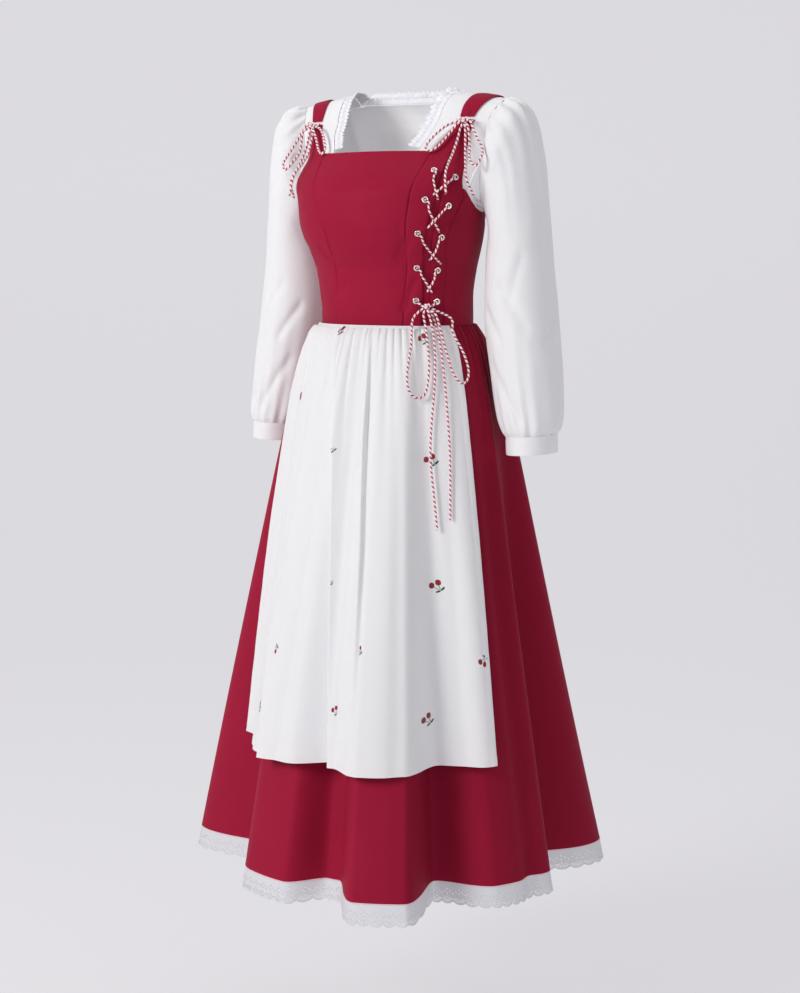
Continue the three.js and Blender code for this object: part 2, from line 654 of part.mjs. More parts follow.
function makeSkirt() {
  for (let g = 0; g < goreCount; g += 1) {
    const start = -Math.PI + 2 * Math.PI * g / goreCount;
    const lines = skirtLevels.map((z) => {
      const count = skirt.columns / goreCount;
      const line = { outer: [], inner: [] };
      for (let i = 0; i <= count; i += 1) {
        const trim = (i === 0 ? 1 : 0) * seamGap / 2 - (i === count ? 1 : 0) * seamGap / 2;
        const angle = start + 2 * Math.PI / goreCount * i / count;
        const gather = Math.cos(angle * skirt.gathers);
        const turned = angle + trim / skirtRadius(angle, z, gather);
        line.outer.push(skirtWall(turned, z, gather, 0));
        line.inner.push(skirtWall(turned, z, gather, -wall));
      }
      return line;
    });
    add(`skirt_gore_${g + 1}`, cloth(lines), finish.red);
  }
}

function makeHemLace() {
  for (let g = 0; g < laceNodes; g += 1) {
    const start = -Math.PI + 2 * Math.PI * g / laceNodes;
    const count = skirt.columns / laceNodes;
    const lines = [0, 1].map((k) => {
      const line = { outer: [], inner: [] };
      for (let i = 0; i <= count; i += 1) {
        const angle = start + 2 * Math.PI / laceNodes * i / count;
        const z = k === 0 ? hemZ - seamGap : hemZ - laceDrop;
        const trim = (i === 0 ? 1 : 0) * seamGap / 2 - (i === count ? 1 : 0) * seamGap / 2;
        const turned = angle + trim / 300;
        line.outer.push(skirtWall(turned, z, 0, -0.2));
        line.inner.push(skirtWall(turned, z, 0, -1.2));
      }
      return line;
    });
    add(`hem_lace_${g + 1}`, cloth(lines), finish.lace);
  }
}

// Apron: it hangs from a narrow band over the skirt's front and bridges the hollows
function apronRadius(angle, z, gather) {
  const under = skirtRadius(angle, z, 0);
  const t = clamp((waistZ - z) / (waistZ - hemZ), 0, 1);
  const crest = skirt.spring + mix(126, 356 - skirt.spring, t);
  const bridge = 0.32 * Math.max(0, crest - under) * easeIn(t * 2.5);
  const depth = apron.gatherDepth * read(gatherFade, 'z', 'depth', z);
  return under + 5.2 + bridge + depth * gather;
}

function apronAt(angle, z, gather = 0, out = 0) {
  const r = apronRadius(angle, z, gather) + out;
  return new THREE.Vector3(r * Math.sin(angle), -r * Math.cos(angle), z);
}

function apronWall(angle, z, gather, out) {
  const d = 0.004;
  const at = apronAt(angle, z, gather);
  const along = apronAt(angle + d, z, gather).sub(apronAt(angle - d, z, gather)).normalize();
  return at.add(new THREE.Vector3(along.y, -along.x, 0).multiplyScalar(out));
}

function makeApron() {
  const lines = apronLevels.map((z) => {
    const count = apron.columns;
    const line = { outer: [], inner: [] };
    for (let i = 0; i <= count; i += 1) {
      const u = i / count;
      const left = radians(read(apronEdge, 'z', 'left', z));
      const angle = mix(left, radians(read(apronEdge, 'z', 'right', z)), u);
      const gather = Math.cos(u * apron.gathers * 2 * Math.PI);
      line.outer.push(apronWall(angle, z, gather, wall));
      line.inner.push(apronWall(angle, z, gather, 0));
    }
    return line;
  });
  add('apron_panel', cloth(lines), finish.white);
  const reach = radians(apronEdge[0].right);
  const band = [apron.bandBottomZ, apron.bandTopZ].map((z) => {
    const line = { outer: [], inner: [] };
    for (let i = 0; i <= apron.bandColumns; i += 1) {
      const angle = mix(-reach, reach, i / apron.bandColumns);
      const seat = figureAt(angle, waistZ);
      const over = bodiceOut(seat.x, seat.y, waistZ) + wall - skirt.lift;
      const r = Math.max(skirtRadius(angle, z, 1), skirtRadius(angle, waistZ, 0) + over) + 0.5;
      line.inner.push(new THREE.Vector3(r * Math.sin(angle), -r * Math.cos(angle), z));
      line.outer.push(new THREE.Vector3((r + 1.4) * Math.sin(angle), -(r + 1.4) * Math.cos(angle), z));
    }
    return line;
  });
  add('apron_band', cloth(band), finish.white);
}

// Cords
// A curve whose even steps fall on its own places instead of even lengths
class Route extends THREE.CatmullRomCurve3 {
  getUtoTmapping(u) {
    return u;
  }
}

// A round cord with a ring of points at each place on its route, or more rings if asked
function tube(places, density = 1) {
  const section = new THREE.Shape();
  for (let i = 0; i < cordSides; i += 1) {
    const turn = 2 * Math.PI * i / cordSides;
    section[i === 0 ? 'moveTo' : 'lineTo'](cordRadius * Math.cos(turn), cordRadius * Math.sin(turn));
  }
  section.closePath();
  const extrudePath = new Route(places, false, 'centripetal');
  const steps = Math.round((places.length - 1) * density);
  return new THREE.ExtrudeGeometry(section, { steps, extrudePath, curveSegments: 1 });
}

function union(shapes) {
  return fromManifold(shapes.map(toManifold).reduce((a, b) => a.add(b)));
}

// The lace comes up through an eyelet and bends over its rim, towards the slit and down
function throughEyelet(edge, row) {
  const x = row[edge];
  const z = row[`${edge}Z`];
  const towards = edge === 'inner' ? 1 : -1;
  return [
    onBodice(x - towards * 0.3, z, -1),
    onBodice(x + towards * 0.6, z - 0.6, row.seat + 3.3),
    onBodice(x + towards * 4, z - 3, row.seat + 4.6),
  ];
}

// A crossing of the lace: each strand comes out of an eyelet and dives under the other edge of the slit
function makeCrossings() {
  eyeletRows.slice(0, -1).forEach((row, k) => {
    const strands = ['inner', 'outer'].map((edge) => {
      const side = edge === 'inner' ? -1 : 1;
      const z = row[`${edge}Z`];
      const middle = read(lacingLine, 'z', 'x', z - 19);
      const half = read(lacingLine, 'z', 'half', z - 20);
      return tube([...throughEyelet(edge, row),
        onBodice(middle + side * (half + 1), z - 12, 3.6),
        onBodice(middle, z - 18, 3),
        onBodice(middle - side * (half - 2.9), z - 23, 2.4),
      ]);
    });
    add(`lace_cross_${k + 1}`, union(strands), finish.cord);
  });
}

function makeEyelets() {
  eyeletRows.forEach((row, k) => {
    ['inner', 'outer'].forEach((edge) => {
      const ring = new THREE.LatheGeometry([
        new THREE.Vector2(eyelet.hole, 0), new THREE.Vector2(eyelet.outer, 0),
        new THREE.Vector2(eyelet.outer - 0.6, eyelet.high), new THREE.Vector2(eyelet.hole, eyelet.high),
        new THREE.Vector2(eyelet.hole, 0),
      ], eyelet.steps);
      const from = onBodice(row[edge], row[`${edge}Z`], row.seat);
      const to = onBodice(row[edge], row[`${edge}Z`], row.seat + 1);
      add(`eyelet_${edge}_${k + 1}`, placed(ring, from, to), finish.metal);
    });
  });
}

// Bows: each strand is a list of places: across and below the knot, and out from the cloth
const waistBow = {
  loop_right: [
    [-9, 7, 8], [-18, 22, 7], [-31, 60, 6], [-43, 110, 5], [-40, 136, 5], [-26, 144, 5], [-14, 132, 5],
    [-7, 92, 5], [-5, 45, 6], [-4.5, 13, 7],
  ],
  tail_right: [
    [1, 11, 10.5], [4, 30, 8], [4, 65, 6], [-1, 121, 5], [-10, 190, 5], [-14, 240, 5], [-12, 300, 5],
    [-10, 350, 5],
  ],
  tail_left: [
    [5.5, 13.6, 4.2], [11, 30, 5], [13, 65, 5], [14, 121, 5], [15, 180, 5], [15, 230, 5], [13, 280, 5],
    [10, 334, 5],
  ],
  loop_left: [
    [11, 7.4, 9], [22, 20, 10], [35, 43, 8], [47, 72, 6], [54, 98, 5], [51, 116, 5], [40, 122, 5],
    [28, 106, 5], [20, 70, 6], [15, 36, 11], [8, 13, 14],
  ],
};
const shoulderBow = {
  loop_inner: [
    [-9, 4, 6], [-24, 10, 6], [-40, 26, 6], [-49, 42, 5], [-44, 51, 5], [-33, 43, 5], [-20, 24, 6],
    [-9, 9, 9],
  ],
  tail_inner: [[-4.3, 13, 3.8], [-7, 32, 5], [-9, 58, 8], [-8, 88, 12], [-7, 112, 12]],
  tail_outer: [[3, 14, 4.6], [4, 34, 5], [9, 66, 6], [15, 92, 7], [18, 110, 7]],
  loop_outer: [
    [9, 3, 10], [17, 24, 16], [25, 50, 21], [27, 72, 22], [20, 80, 20], [13, 70, 17], [9, 42, 13],
    [7.5, 14, 14],
  ],
};
const waistKnot = { x: 94, z: -335 };
const shoulderKnot = { x: 140, z: -46 };

function waistPlace(across, below, out) {
  const z = waistKnot.z - below;
  const start = onBodice(waistKnot.x, waistKnot.z, 0);
  if (z > waistZ + 6) {
    return onBodice(waistKnot.x + across, z, out + easeIn(below / 22) * 4.5);
  }
  const angle = Math.atan2(start.x, -start.y);
  const reach = Math.max(apronRadius(angle, z, 0), Math.hypot(start.x, start.y));
  const depth = apron.gatherDepth * read(gatherFade, 'z', 'depth', z);
  return apronAt(angle + across / reach, z, 0, wall + depth + out);
}

function shoulderPlace(across, below, out) {
  const x = shoulderKnot.x + across;
  const z = shoulderKnot.z - below;
  const seat = Math.min(x, 158);
  const base = (u, v) => {
    const level = z + (v - 0.5) * 4;
    return figureAt(angleOf(seat + (u - 0.5) * 4, level), level);
  };
  const place = lifted(base, 0.5, 0.5, bodiceLift + 1.9 + wall + out);
  return place.add(new THREE.Vector3(x - seat, 0, 0));
}

const knotSize = { wide: 7, deep: 6.5, high: 7.2 };

function ball(place, more = 0) {
  const knot = new THREE.SphereGeometry(1, 8, 6);
  knot.scale(knotSize.wide + more, knotSize.deep + more, knotSize.high + more);
  knot.translate(place.x, place.y, place.z);
  return knot;
}

// A strand of a bow, run on into its knot at its first place, and at its last if it is a loop; the knot
// is then cut out of it, so that it meets the knot face to face
function strand(name, places, knot) {
  const isLoop = name.startsWith('loop');
  const inward = (place) => place.clone().lerp(knot, 0.5);
  const route = [inward(places[0]), ...places, ...(isLoop ? [inward(places[places.length - 1])] : [])];
  const left = toManifold(tube(route, isLoop ? 1.5 : 1)).subtract(toManifold(ball(knot, seamGap)));
  return fromManifold(left.decompose().sort((a, b) => b.volume() - a.volume())[0]);
}

function makeBows() {
  const knotAt = waistPlace(0, 0, 8);
  const ends = ['inner', 'outer'].map((edge, k) => tube([
    ...throughEyelet(edge, eyeletRows[eyeletRows.length - 1]), waistPlace(k * 8 - 4, 0, 7),
  ]));
  add('waist_knot', union([ball(knotAt), ...ends]), finish.cord);
  Object.entries(waistBow).forEach(([name, places]) => {
    add(`waist_${name}`, strand(name, places.map((p) => waistPlace(...p)), knotAt), finish.cord);
  });
  const band = tube([shoulderPlace(-12, -1, 1.8), shoulderPlace(0, 1, 4), shoulderPlace(14, 0, 1.8)]);
  const shoulderAtKnot = shoulderPlace(0, 2, 8);
  const knot = union([ball(shoulderAtKnot), band]);
  add('shoulder_knot_left', knot, finish.cord);
  add('shoulder_knot_right', mirrored(knot), finish.cord);
  Object.entries(shoulderBow).forEach(([name, places]) => {
    const shape = strand(name, places.map((p) => shoulderPlace(...p)), shoulderAtKnot);
    add(`shoulder_left_${name}`, shape, finish.cord);
    add(`shoulder_right_${name}`, mirrored(shape), finish.cord);
  });
}

makeBodice();
makeStraps();
makeBlouse();
makeNeckFrill();
makeSleeves();
makeSkirt();
makeHemLace();
makeApron();
makeEyelets();
makeCrossings();
makeBows();

export default dirndl;
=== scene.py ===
import bpy
import numpy as np
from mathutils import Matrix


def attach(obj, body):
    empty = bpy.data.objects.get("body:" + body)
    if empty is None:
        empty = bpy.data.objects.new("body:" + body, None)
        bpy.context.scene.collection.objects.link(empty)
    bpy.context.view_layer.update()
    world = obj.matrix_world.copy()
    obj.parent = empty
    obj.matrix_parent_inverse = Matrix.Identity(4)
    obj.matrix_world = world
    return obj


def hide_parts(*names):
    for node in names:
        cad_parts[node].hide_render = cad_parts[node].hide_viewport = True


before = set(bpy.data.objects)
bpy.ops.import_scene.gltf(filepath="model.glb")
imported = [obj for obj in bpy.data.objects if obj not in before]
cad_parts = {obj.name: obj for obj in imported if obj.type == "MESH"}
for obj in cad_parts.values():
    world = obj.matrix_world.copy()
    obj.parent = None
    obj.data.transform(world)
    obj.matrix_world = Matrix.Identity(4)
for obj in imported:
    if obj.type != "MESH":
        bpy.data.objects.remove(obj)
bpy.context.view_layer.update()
litCloth = {kind: bpy.data.collections.new(f"{kind}_cloth") for kind in ("white", "neck")}


def readTable(table, column, at):
    # A smooth curve through one column of a table: cubic between rows, with the harmonic mean of the
    # slopes on both sides of a row, so it never overshoots
    x, y = np.array(table["at"], float), np.array(table[column], float)
    if x[0] > x[-1]:
        x, y = x[::-1], y[::-1]
    rise = np.diff(y) / np.diff(x)
    before, after = rise[:-1], rise[1:]
    same = before * after > 0
    middle = np.where(same, 2 * before * after / np.where(same, before + after, 1), 0)
    slope = np.concatenate([rise[:1], middle, rise[-1:]])
    value = np.clip(at, x[0], x[-1])
    i = np.clip(np.searchsorted(x, value, side="right") - 1, 0, len(x) - 2)
    span = x[i + 1] - x[i]
    t = (value - x[i]) / span
    return ((2 * t**3 - 3 * t**2 + 1) * y[i] + (t**3 - 2 * t**2 + t) * slope[i] * span
            + (3 * t**2 - 2 * t**3) * y[i + 1] + (t**3 - t**2) * slope[i + 1] * span)


def mixed(a, b, t):
    # From a to b by a share
    return a + (b - a) * t


def eased(t):
    # 0 to 1 with a level start and end: three squares less two cubes of the share
    c = np.clip(t, 0, 1)
    return c * c * (3 - 2 * c)


def unit(v):
    # The same direction with a length of 1
    return v / np.maximum(np.linalg.norm(v, axis=-1, keepdims=True), 1e-9)


def ripples(seed, u, v, count, scaleU, scaleV, sharp=1.0):
    # A sum of sine waves with random directions and starts, about -1 to 1; sharp above 1 makes the
    # crests narrow and the troughs wide, as cloth that is pushed together has them
    rng = np.random.default_rng(seed)
    total = 0
    for _ in range(count):
        a, b, start, size = rng.normal(), rng.normal(), rng.uniform(0, 6.28), rng.uniform(0.5, 1)
        wave = np.sin(a * u / scaleU + b * v / scaleV + start)
        total = total + size * (2 * ((wave + 1) / 2) ** sharp - 1)
    return total / count**0.5


def crease(u, v, u0, v0, u1, v1, wide, fade=0.25):
    # One soft fold line from a place to another: a bell across it that dies away at both ends
    du, dv = u1 - u0, v1 - v0
    length = np.hypot(du, dv)
    along = ((u - u0) * du + (v - v0) * dv) / length**2
    across = ((u - u0) * dv - (v - v0) * du) / length
    ends = eased(along / fade + 0.5) * eased((1 - along) / fade + 0.5)
    return np.exp(-(across / wide) ** 2) * ends


def grooves(u, down, look, period=0.0):
    # Narrow troughs where cloth is gathered: each is a bell across u that widens and dies away downwards,
    # with its own place, depth and length
    rng = np.random.default_rng(look["seed"])
    total = 0.0
    for k in range(look["count"]):
        place = (k + rng.uniform(0.15, 0.85)) / look["count"] * look["span"] + look["start"]
        deep, long = rng.uniform(*look["deep"]), rng.uniform(*look["long"]) * rng.choice([0.6, 1, 1.8])
        away = u - place - rng.normal() * look["drift"] * down
        if period:
            away = (away + period / 2) % period - period / 2
        width = look["narrow"] * rng.uniform(0.7, 1.3) + look["spread"] * down
        total = total - deep * np.exp(-(away / width) ** 2 - np.maximum(down, 0) / long)
    return total


def showPiece(obj, nodes, materials):
    # Rides the one body and stands for its nodes; white and neck pieces join what the fill lamps light
    for material in materials:
        obj.data.materials.append(material)
    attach(obj, "root")
    if nodes:
        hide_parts(*nodes)
    if not obj.name.startswith(("skirt", "bodice", "strap", "lacing", "apron_emb")):
        litCloth["white"].objects.link(obj)
    if obj.name.startswith(("blouse_back", "blouse_neck")):
        litCloth["neck"].objects.link(obj)
    return obj


def gridFaces(rows, columns, around):
    # Corner numbers of each cell of a grid, with the last column joined to the first when it goes around
    i, j = np.meshgrid(np.arange(rows - 1), np.arange(columns if around else columns - 1), indexing="ij")
    k = (j + 1) % columns
    return np.stack([i * columns + j, i * columns + k, (i + 1) * columns + k, (i + 1) * columns + j],
                    -1).reshape(-1, 4)


def cellCorners(rows, wide):
    # The row and column of each cell's four corners, in the order of its face
    i, j = np.meshgrid(np.arange(rows - 1), np.arange(wide - 1), indexing="ij")
    return np.stack([i, i, i + 1, i + 1], -1), np.stack([j, j + 1, j + 1, j], -1)


def buildMesh(name, points, faces, cornerUV=None, faceMaterials=None):
    # Places in millimetres become a smooth mesh in metres, with its own UV map
    mesh = bpy.data.meshes.new(name)
    mesh.from_pydata((points.reshape(-1, 3) * 0.001).tolist(), [],
                     faces if isinstance(faces, list) else faces.tolist())
    mesh.polygons.foreach_set("use_smooth", np.full(len(faces), True))
    if cornerUV is not None:
        mesh.uv_layers.new(name="cloth").data.foreach_set("uv", cornerUV.reshape(-1).astype(np.float32))
    if faceMaterials is not None:
        mesh.polygons.foreach_set("material_index", faceMaterials)
    mesh.update()
    obj = bpy.data.objects.new(name, mesh)
    bpy.context.scene.collection.objects.link(obj)
    return obj


def gridNormals(points, around=False):
    # The unit normal at each place of a grid: the step across times the step up
    if around:
        across = np.roll(points, -1, 1) - np.roll(points, 1, 1)
    else:
        across = np.gradient(points, axis=1)
    up = np.gradient(points, axis=0)
    return unit(np.cross(across, up))


def lifted(points, out, around=False):
    # Each place moved out along its own normal
    return points + gridNormals(points, around) * np.asarray(out)[..., None]


def clothUV(points, around=False):
    # Real lengths in metres over a grid: across each row from its middle, and up each column
    closed = np.concatenate([points, points[:, :1]], 1) if around else points
    steps = np.linalg.norm(np.diff(closed, axis=1), axis=-1)
    u = np.concatenate([np.zeros((len(points), 1)), np.cumsum(steps, 1)], 1)
    u = u - u[:, -1:] / 2
    rises = np.linalg.norm(np.diff(closed, axis=0), axis=-1)
    v = np.concatenate([np.zeros((1, closed.shape[1])), np.cumsum(rises, 0)], 0)
    return np.stack([u, v], -1) * 0.001


def makeCloth(name, points, material, nodes, thick=1.3, around=False, uv=None):
    # A wall of cloth from a grid of outer places; its thickness goes inwards
    rows, columns = points.shape[:2]
    faces = gridFaces(rows, columns, around)
    uv = clothUV(points, around) if uv is None else uv
    wide = columns + 1 if around else columns
    i, j = cellCorners(rows, wide)
    obj = buildMesh(f"{name}_cloth", points, faces, uv.reshape(-1, 2)[(i * wide + j).reshape(-1)])
    # The borders stay crisp, so that neighbours that meet look like one cloth
    ends = np.zeros(len(obj.data.edges) * 2, int)
    obj.data.edges.foreach_get("vertices", ends)
    row, column = np.divmod(ends.reshape(-1, 2), columns)
    border = (row[:, 0] == row[:, 1]) & ((row[:, 0] == 0) | (row[:, 0] == rows - 1))
    if not around:
        border |= (column[:, 0] == column[:, 1]) & ((column[:, 0] == 0) | (column[:, 0] == columns - 1))
    obj.data.edges.foreach_set("use_edge_sharp", border)
    wall = obj.modifiers.new("wall", "SOLIDIFY")
    wall.thickness = thick * 0.001
    wall.offset = -1
    wall.use_even_offset = False
    showPiece(obj, nodes, [material])
    return obj


class Wire:
    # One socket of a material. Arithmetic on it adds Math nodes
    def __init__(self, tree, socket):
        self.tree, self.socket = tree, socket

    def math(self, operation, *values):
        # A Math node on the given values, in their order
        return addNode(self.tree, "ShaderNodeMath", {"operation": operation}, dict(enumerate(values)))

    def __add__(self, other):
        return self.math("ADD", self, other)

    __radd__ = __add__

    def __sub__(self, other):
        return self.math("SUBTRACT", self, other)

    def __rsub__(self, other):
        return self.math("SUBTRACT", other, self)

    def __mul__(self, other):
        return self.math("MULTIPLY", self, other)

    __rmul__ = __mul__

    def __truediv__(self, other):
        return self.math("DIVIDE", self, other)

    def sine(self):
        return self.math("SINE", self)

    def part(self):
        return self.math("FRACT", self)

    def size(self):
        return self.math("ABSOLUTE", self)

    def root(self):
        return self.math("SQRT", self)

    def least(self, other):
        return self.math("MINIMUM", self, other)

    def most(self, other):
        return self.math("MAXIMUM", self, other)

    def between(self, low, high):
        # 0 below low, 1 above high, smooth between them
        return addNode(self.tree, "ShaderNodeMapRange", {"interpolation_type": "SMOOTHSTEP"},
                       {"Value": self, "From Min": low, "From Max": high, "To Min": 0.0, "To Max": 1.0})


def addNode(tree, kind, settings, sockets, output=0):
    # Any node: its settings first, then each socket's value or link
    node = tree.nodes.new(kind)
    for key, value in settings.items():
        setattr(node, key, value)
    for key, value in sockets.items():
        if isinstance(value, Wire):
            tree.links.new(value.socket, node.inputs[key])
        else:
            node.inputs[key].default_value = value
    return Wire(tree, node.outputs[output]) if node.outputs else None


def newMaterial(name):
    # An empty material and its node tree
    material = bpy.data.materials.new(name)
    material.use_nodes = True
    tree = material.node_tree
    tree.nodes.clear()
    return material, tree


def noise(tree, where, x, y, detail=3.0):
    # Noise with x cells a metre round or across the cloth, and y along it
    place = addNode(tree, "ShaderNodeVectorMath", {"operation": "MULTIPLY"}, {0: where, 1: (x, y, 1.0)})
    return addNode(tree, "ShaderNodeTexNoise", {}, {"Vector": place, "Scale": 1.0, "Detail": detail,
                                                    "Roughness": 0.5})


def blended(tree, share, a, b):
    # A colour from a to b by a share; 6, 7 and 2 are the Mix node's colour sockets
    a, b = (value if isinstance(value, Wire) else (*value, 1) for value in (a, b))
    return addNode(tree, "ShaderNodeMix", {"data_type": "RGBA"}, {0: share, 6: a, 7: b}, output=2)


def bumped(tree, height, strength, distance, normal=None):
    # A normal from heights, over another bump where one is given
    sockets = {"Height": height, "Strength": strength, "Distance": distance}
    if normal is not None:
        sockets["Normal"] = normal
    return addNode(tree, "ShaderNodeBump", {}, sockets)


def finishMaterial(tree, values):
    # The shader itself, with constants set on its sockets
    shader = addNode(tree, "ShaderNodeBsdfPrincipled", {}, values)
    addNode(tree, "ShaderNodeOutputMaterial", {}, {"Surface": shader})


def uvParts(tree):
    # The piece's UV map, then its u and its v alone
    where = addNode(tree, "ShaderNodeUVMap", {"uv_map": "cloth"}, {})
    u, v = (addNode(tree, "ShaderNodeSeparateXYZ", {}, {0: where}, output=k) for k in range(2))
    return where, u, v


# Woven cotton: thread pitches and sizes in metres
redCotton = {"light": (0.335, 0.0100, 0.0400), "dark": (0.280, 0.0060, 0.0300), "thread": 0.00055,
             "twill": 0.0016, "weaveBump": 0.22, "slubBump": 0.10, "rough": 0.60, "sheen": 0.03,
             "sheenTint": (1.0, 0.4, 0.5, 1), "through": 0.0, "shine": 0.07}
whiteCotton = {"light": (0.790, 0.787, 0.806), "dark": (0.750, 0.747, 0.770), "thread": 0.00050,
               "twill": 0.0, "weaveBump": 0.16, "slubBump": 0.10, "rough": 0.78, "sheen": 0.08,
               "sheenTint": (1, 1, 1, 1), "through": 0.35, "shine": 0.2}


def makeCotton(name, cloth):
    # A plain or twill weave from two crossing sines, slubs from stretched noise, and colour that varies a
    # little with both and with cloudy noise; the weave's thread crests are painted lighter as a highlight
    material, tree = newMaterial(name)
    where, u, v = uvParts(tree)
    pitch = 2 * np.pi / cloth["thread"]
    weave = (u * pitch).sine() * (v * pitch).sine()
    if cloth["twill"]:
        weave = weave * 0.6 + ((u + v) * (2 * np.pi / cloth["twill"])).sine() * 0.4
    warp = noise(tree, where, 900, 60, 2.0)
    weft = noise(tree, where, 60, 900, 2.0)
    slubs = warp + weft - 1.0
    cloudy = noise(tree, where, 14, 9, 4.0)
    # Random tone from the cloudy noise and the slubs, and a painted highlight that lightens the weave's
    # thread crests
    wearAndCrestHighlight = (cloudy * 0.7 + slubs * 0.5 + weave * 0.10 + 0.15).most(0.0).least(1.0)
    colour = blended(tree, wearAndCrestHighlight, cloth["dark"], cloth["light"])
    height = weave * cloth["weaveBump"] + slubs * cloth["slubBump"] * 4
    normal = bumped(tree, height, 0.5, 0.0004)
    soft = noise(tree, where, 55, 38, 3.0)
    normal = bumped(tree, soft, 0.10, 0.004, normal)
    finishMaterial(tree, {
        "Base Color": colour, "Roughness": (cloudy * 0.10 + (cloth["rough"] - 0.05)), "Normal": normal,
        "Sheen Weight": cloth["sheen"], "Sheen Roughness": 0.45, "Sheen Tint": cloth["sheenTint"],
        "Specular IOR Level": cloth["shine"], "Subsurface Weight": cloth["through"],
        "Subsurface Radius": (0.006, 0.006, 0.006), "Subsurface Scale": 1.0,
    })
    return material


# Eyelet lace in metres: each hole's place across and up in one repeat, then its radius
eyeletLace = {"white": (0.88, 0.88, 0.90), "shade": (0.62, 0.62, 0.66), "cover": 0.88}
hemPattern = {"pitch": 0.0170, "arcMiddle": 11.5, "arcReach": 62,
              "arcs": [{"radius": 7.2, "holes": 6, "size": 1.0}, {"radius": 4.2, "holes": 4, "size": 0.85}],
              "size": 0.0009, "single": [(0, 11.2), (0, 17), (-4.4, 20), (4.4, 20), (-8.5, 17), (0, 23.5),
                                         (8.5, 17)]}
neckPattern = {"pitch": 0.0088,
               "holes": [(0.0, 0.0130, 0.0008), (-0.0022, 0.0105, 0.0006), (0.0022, 0.0105, 0.0006)]}


def hemHoles():
    # Two arcs of holes round each scallop's middle, then single ones above them
    middle, reach = hemPattern["arcMiddle"], hemPattern["arcReach"]
    holes = [(arc["radius"] * float(np.sin(a)) / 1000, (middle - arc["radius"] * float(np.cos(a))) / 1000,
              arc["size"] / 1000)
             for arc in hemPattern["arcs"] for a in np.radians(np.linspace(-reach, reach, arc["holes"]))]
    return holes + [(x / 1000, y / 1000, hemPattern["size"]) for x, y in hemPattern["single"]]


def makeEyeletLace(name, lace, pitch, holes):
    # Cotton lace with round holes: in each repeat along u the distance to the nearest hole, less its size,
    # is a rim where it is small and a hole where it is below nothing
    material, tree = newMaterial(name)
    where, u, v = uvParts(tree)
    along = ((u / pitch).part() - 0.5) * pitch
    nearest = None
    for x, y, size in holes:
        far = ((along - x) * (along - x) + (v - y) * (v - y)).root() - size
        nearest = far if nearest is None else nearest.least(far)
    hole = 1.0 - nearest.between(-0.00012, 0.00012)
    rim = 1.0 - (nearest - 0.0005).size().between(0.0, 0.0006)
    threads = noise(tree, where, 1500, 1500, 2.0)
    colour = blended(tree, rim * 0.6 + threads * 0.4, lace["shade"], lace["white"])
    normal = bumped(tree, rim * 1.0 + threads * 0.25, 0.8, 0.0006)
    finishMaterial(tree, {
        "Base Color": colour, "Roughness": 0.8, "Normal": normal,
        "Alpha": lace["cover"] - hole * lace["cover"],
        "Sheen Weight": 0.15, "Specular IOR Level": 0.25,
    })
    return material


# The red and white plies, the painted shade in the grooves between them, and the twist's pitch in metres
twistedCord = {"red": (0.42, 0.008, 0.05), "white": (0.92, 0.88, 0.90), "shadedGroove": (0.22, 0.03, 0.05),
               "pitch": 0.0078}


def makeTwistedCord(name, cord):
    # Two plies wound round each other: u runs once round the cord and v along it, so the ply is the
    # fraction of u plus v over the pitch; fine fibres run along each ply; the grooves are painted shade
    material, tree = newMaterial(name)
    where, u, v = uvParts(tree)
    turn = (u + v / cord["pitch"]).part()
    ply = (turn - 0.5).size().between(0.20, 0.25)
    shadedGroove = ((turn * 2.0).part() - 0.5).size().between(0.30, 0.5)
    fibres = noise(tree, where, 9, 2600, 3.0)
    colour = blended(tree, ply, cord["red"], cord["white"])
    # Painted shade darkens the grooves between the plies; the fibres vary the tone a little at random
    colour = blended(tree, shadedGroove * 0.35 + fibres * 0.15, colour, cord["shadedGroove"])
    normal = bumped(tree, fibres - shadedGroove * 0.8, 0.55, 0.0005)
    finishMaterial(tree, {"Base Color": colour, "Roughness": 0.72, "Normal": normal, "Sheen Weight": 0.3,
                          "Specular IOR Level": 0.3})
    return material


threads = {
    "pinkPiping": {"light": (0.86, 0.66, 0.70), "dark": (0.70, 0.40, 0.46), "pitch": 0.0012},
    "redThread": {"light": (0.36, 0.003, 0.016), "dark": (0.25, 0.002, 0.010), "pitch": 0.0007},
    "greenThread": {"light": (0.012, 0.10, 0.035), "dark": (0.008, 0.06, 0.02), "pitch": 0.0007},
}


def makeThread(name):
    # Satin stitches side by side: stripes across v, a little uneven; each stitch's crest is painted lighter
    # as a highlight and the line between stitches darker as shade
    thread = threads[name]
    material, tree = newMaterial(name)
    where, _, v = uvParts(tree)
    uneven = noise(tree, where, 200, 200, 2.0)
    stripe = ((v * (2 * np.pi / thread["pitch"])) + uneven * 3.0).sine()
    # The stripes paint a highlight on the stitches' crests and shade between them; the uneven noise varies
    # the tone at random
    tone = blended(tree, stripe * 0.3 + uneven * 0.5 + 0.2, thread["dark"], thread["light"])
    normal = bumped(tree, stripe, 0.5, 0.0003)
    finishMaterial(tree, {"Base Color": tone, "Roughness": uneven * 0.2 + 0.4, "Normal": normal,
                          "Sheen Weight": 0.2, "Specular IOR Level": 0.4})
    return material


plating = {"bright": (0.96, 0.95, 0.94), "dull": (0.52, 0.50, 0.48)}


def makeMetal(name):
    # Plated rings with fine scratches round them, and tone and roughness that vary at random
    material, tree = newMaterial(name)
    where = uvParts(tree)[0]
    scratches = noise(tree, where, 300, 4000, 3.0)
    dull = noise(tree, where, 500, 500, 3.0)
    tone = blended(tree, dull, plating["dull"], plating["bright"])
    finishMaterial(tree, {"Base Color": tone, "Metallic": 1.0, "Roughness": dull * 0.25 + 0.16,
                          "Normal": bumped(tree, scratches, 0.15, 0.0002)})
    return material


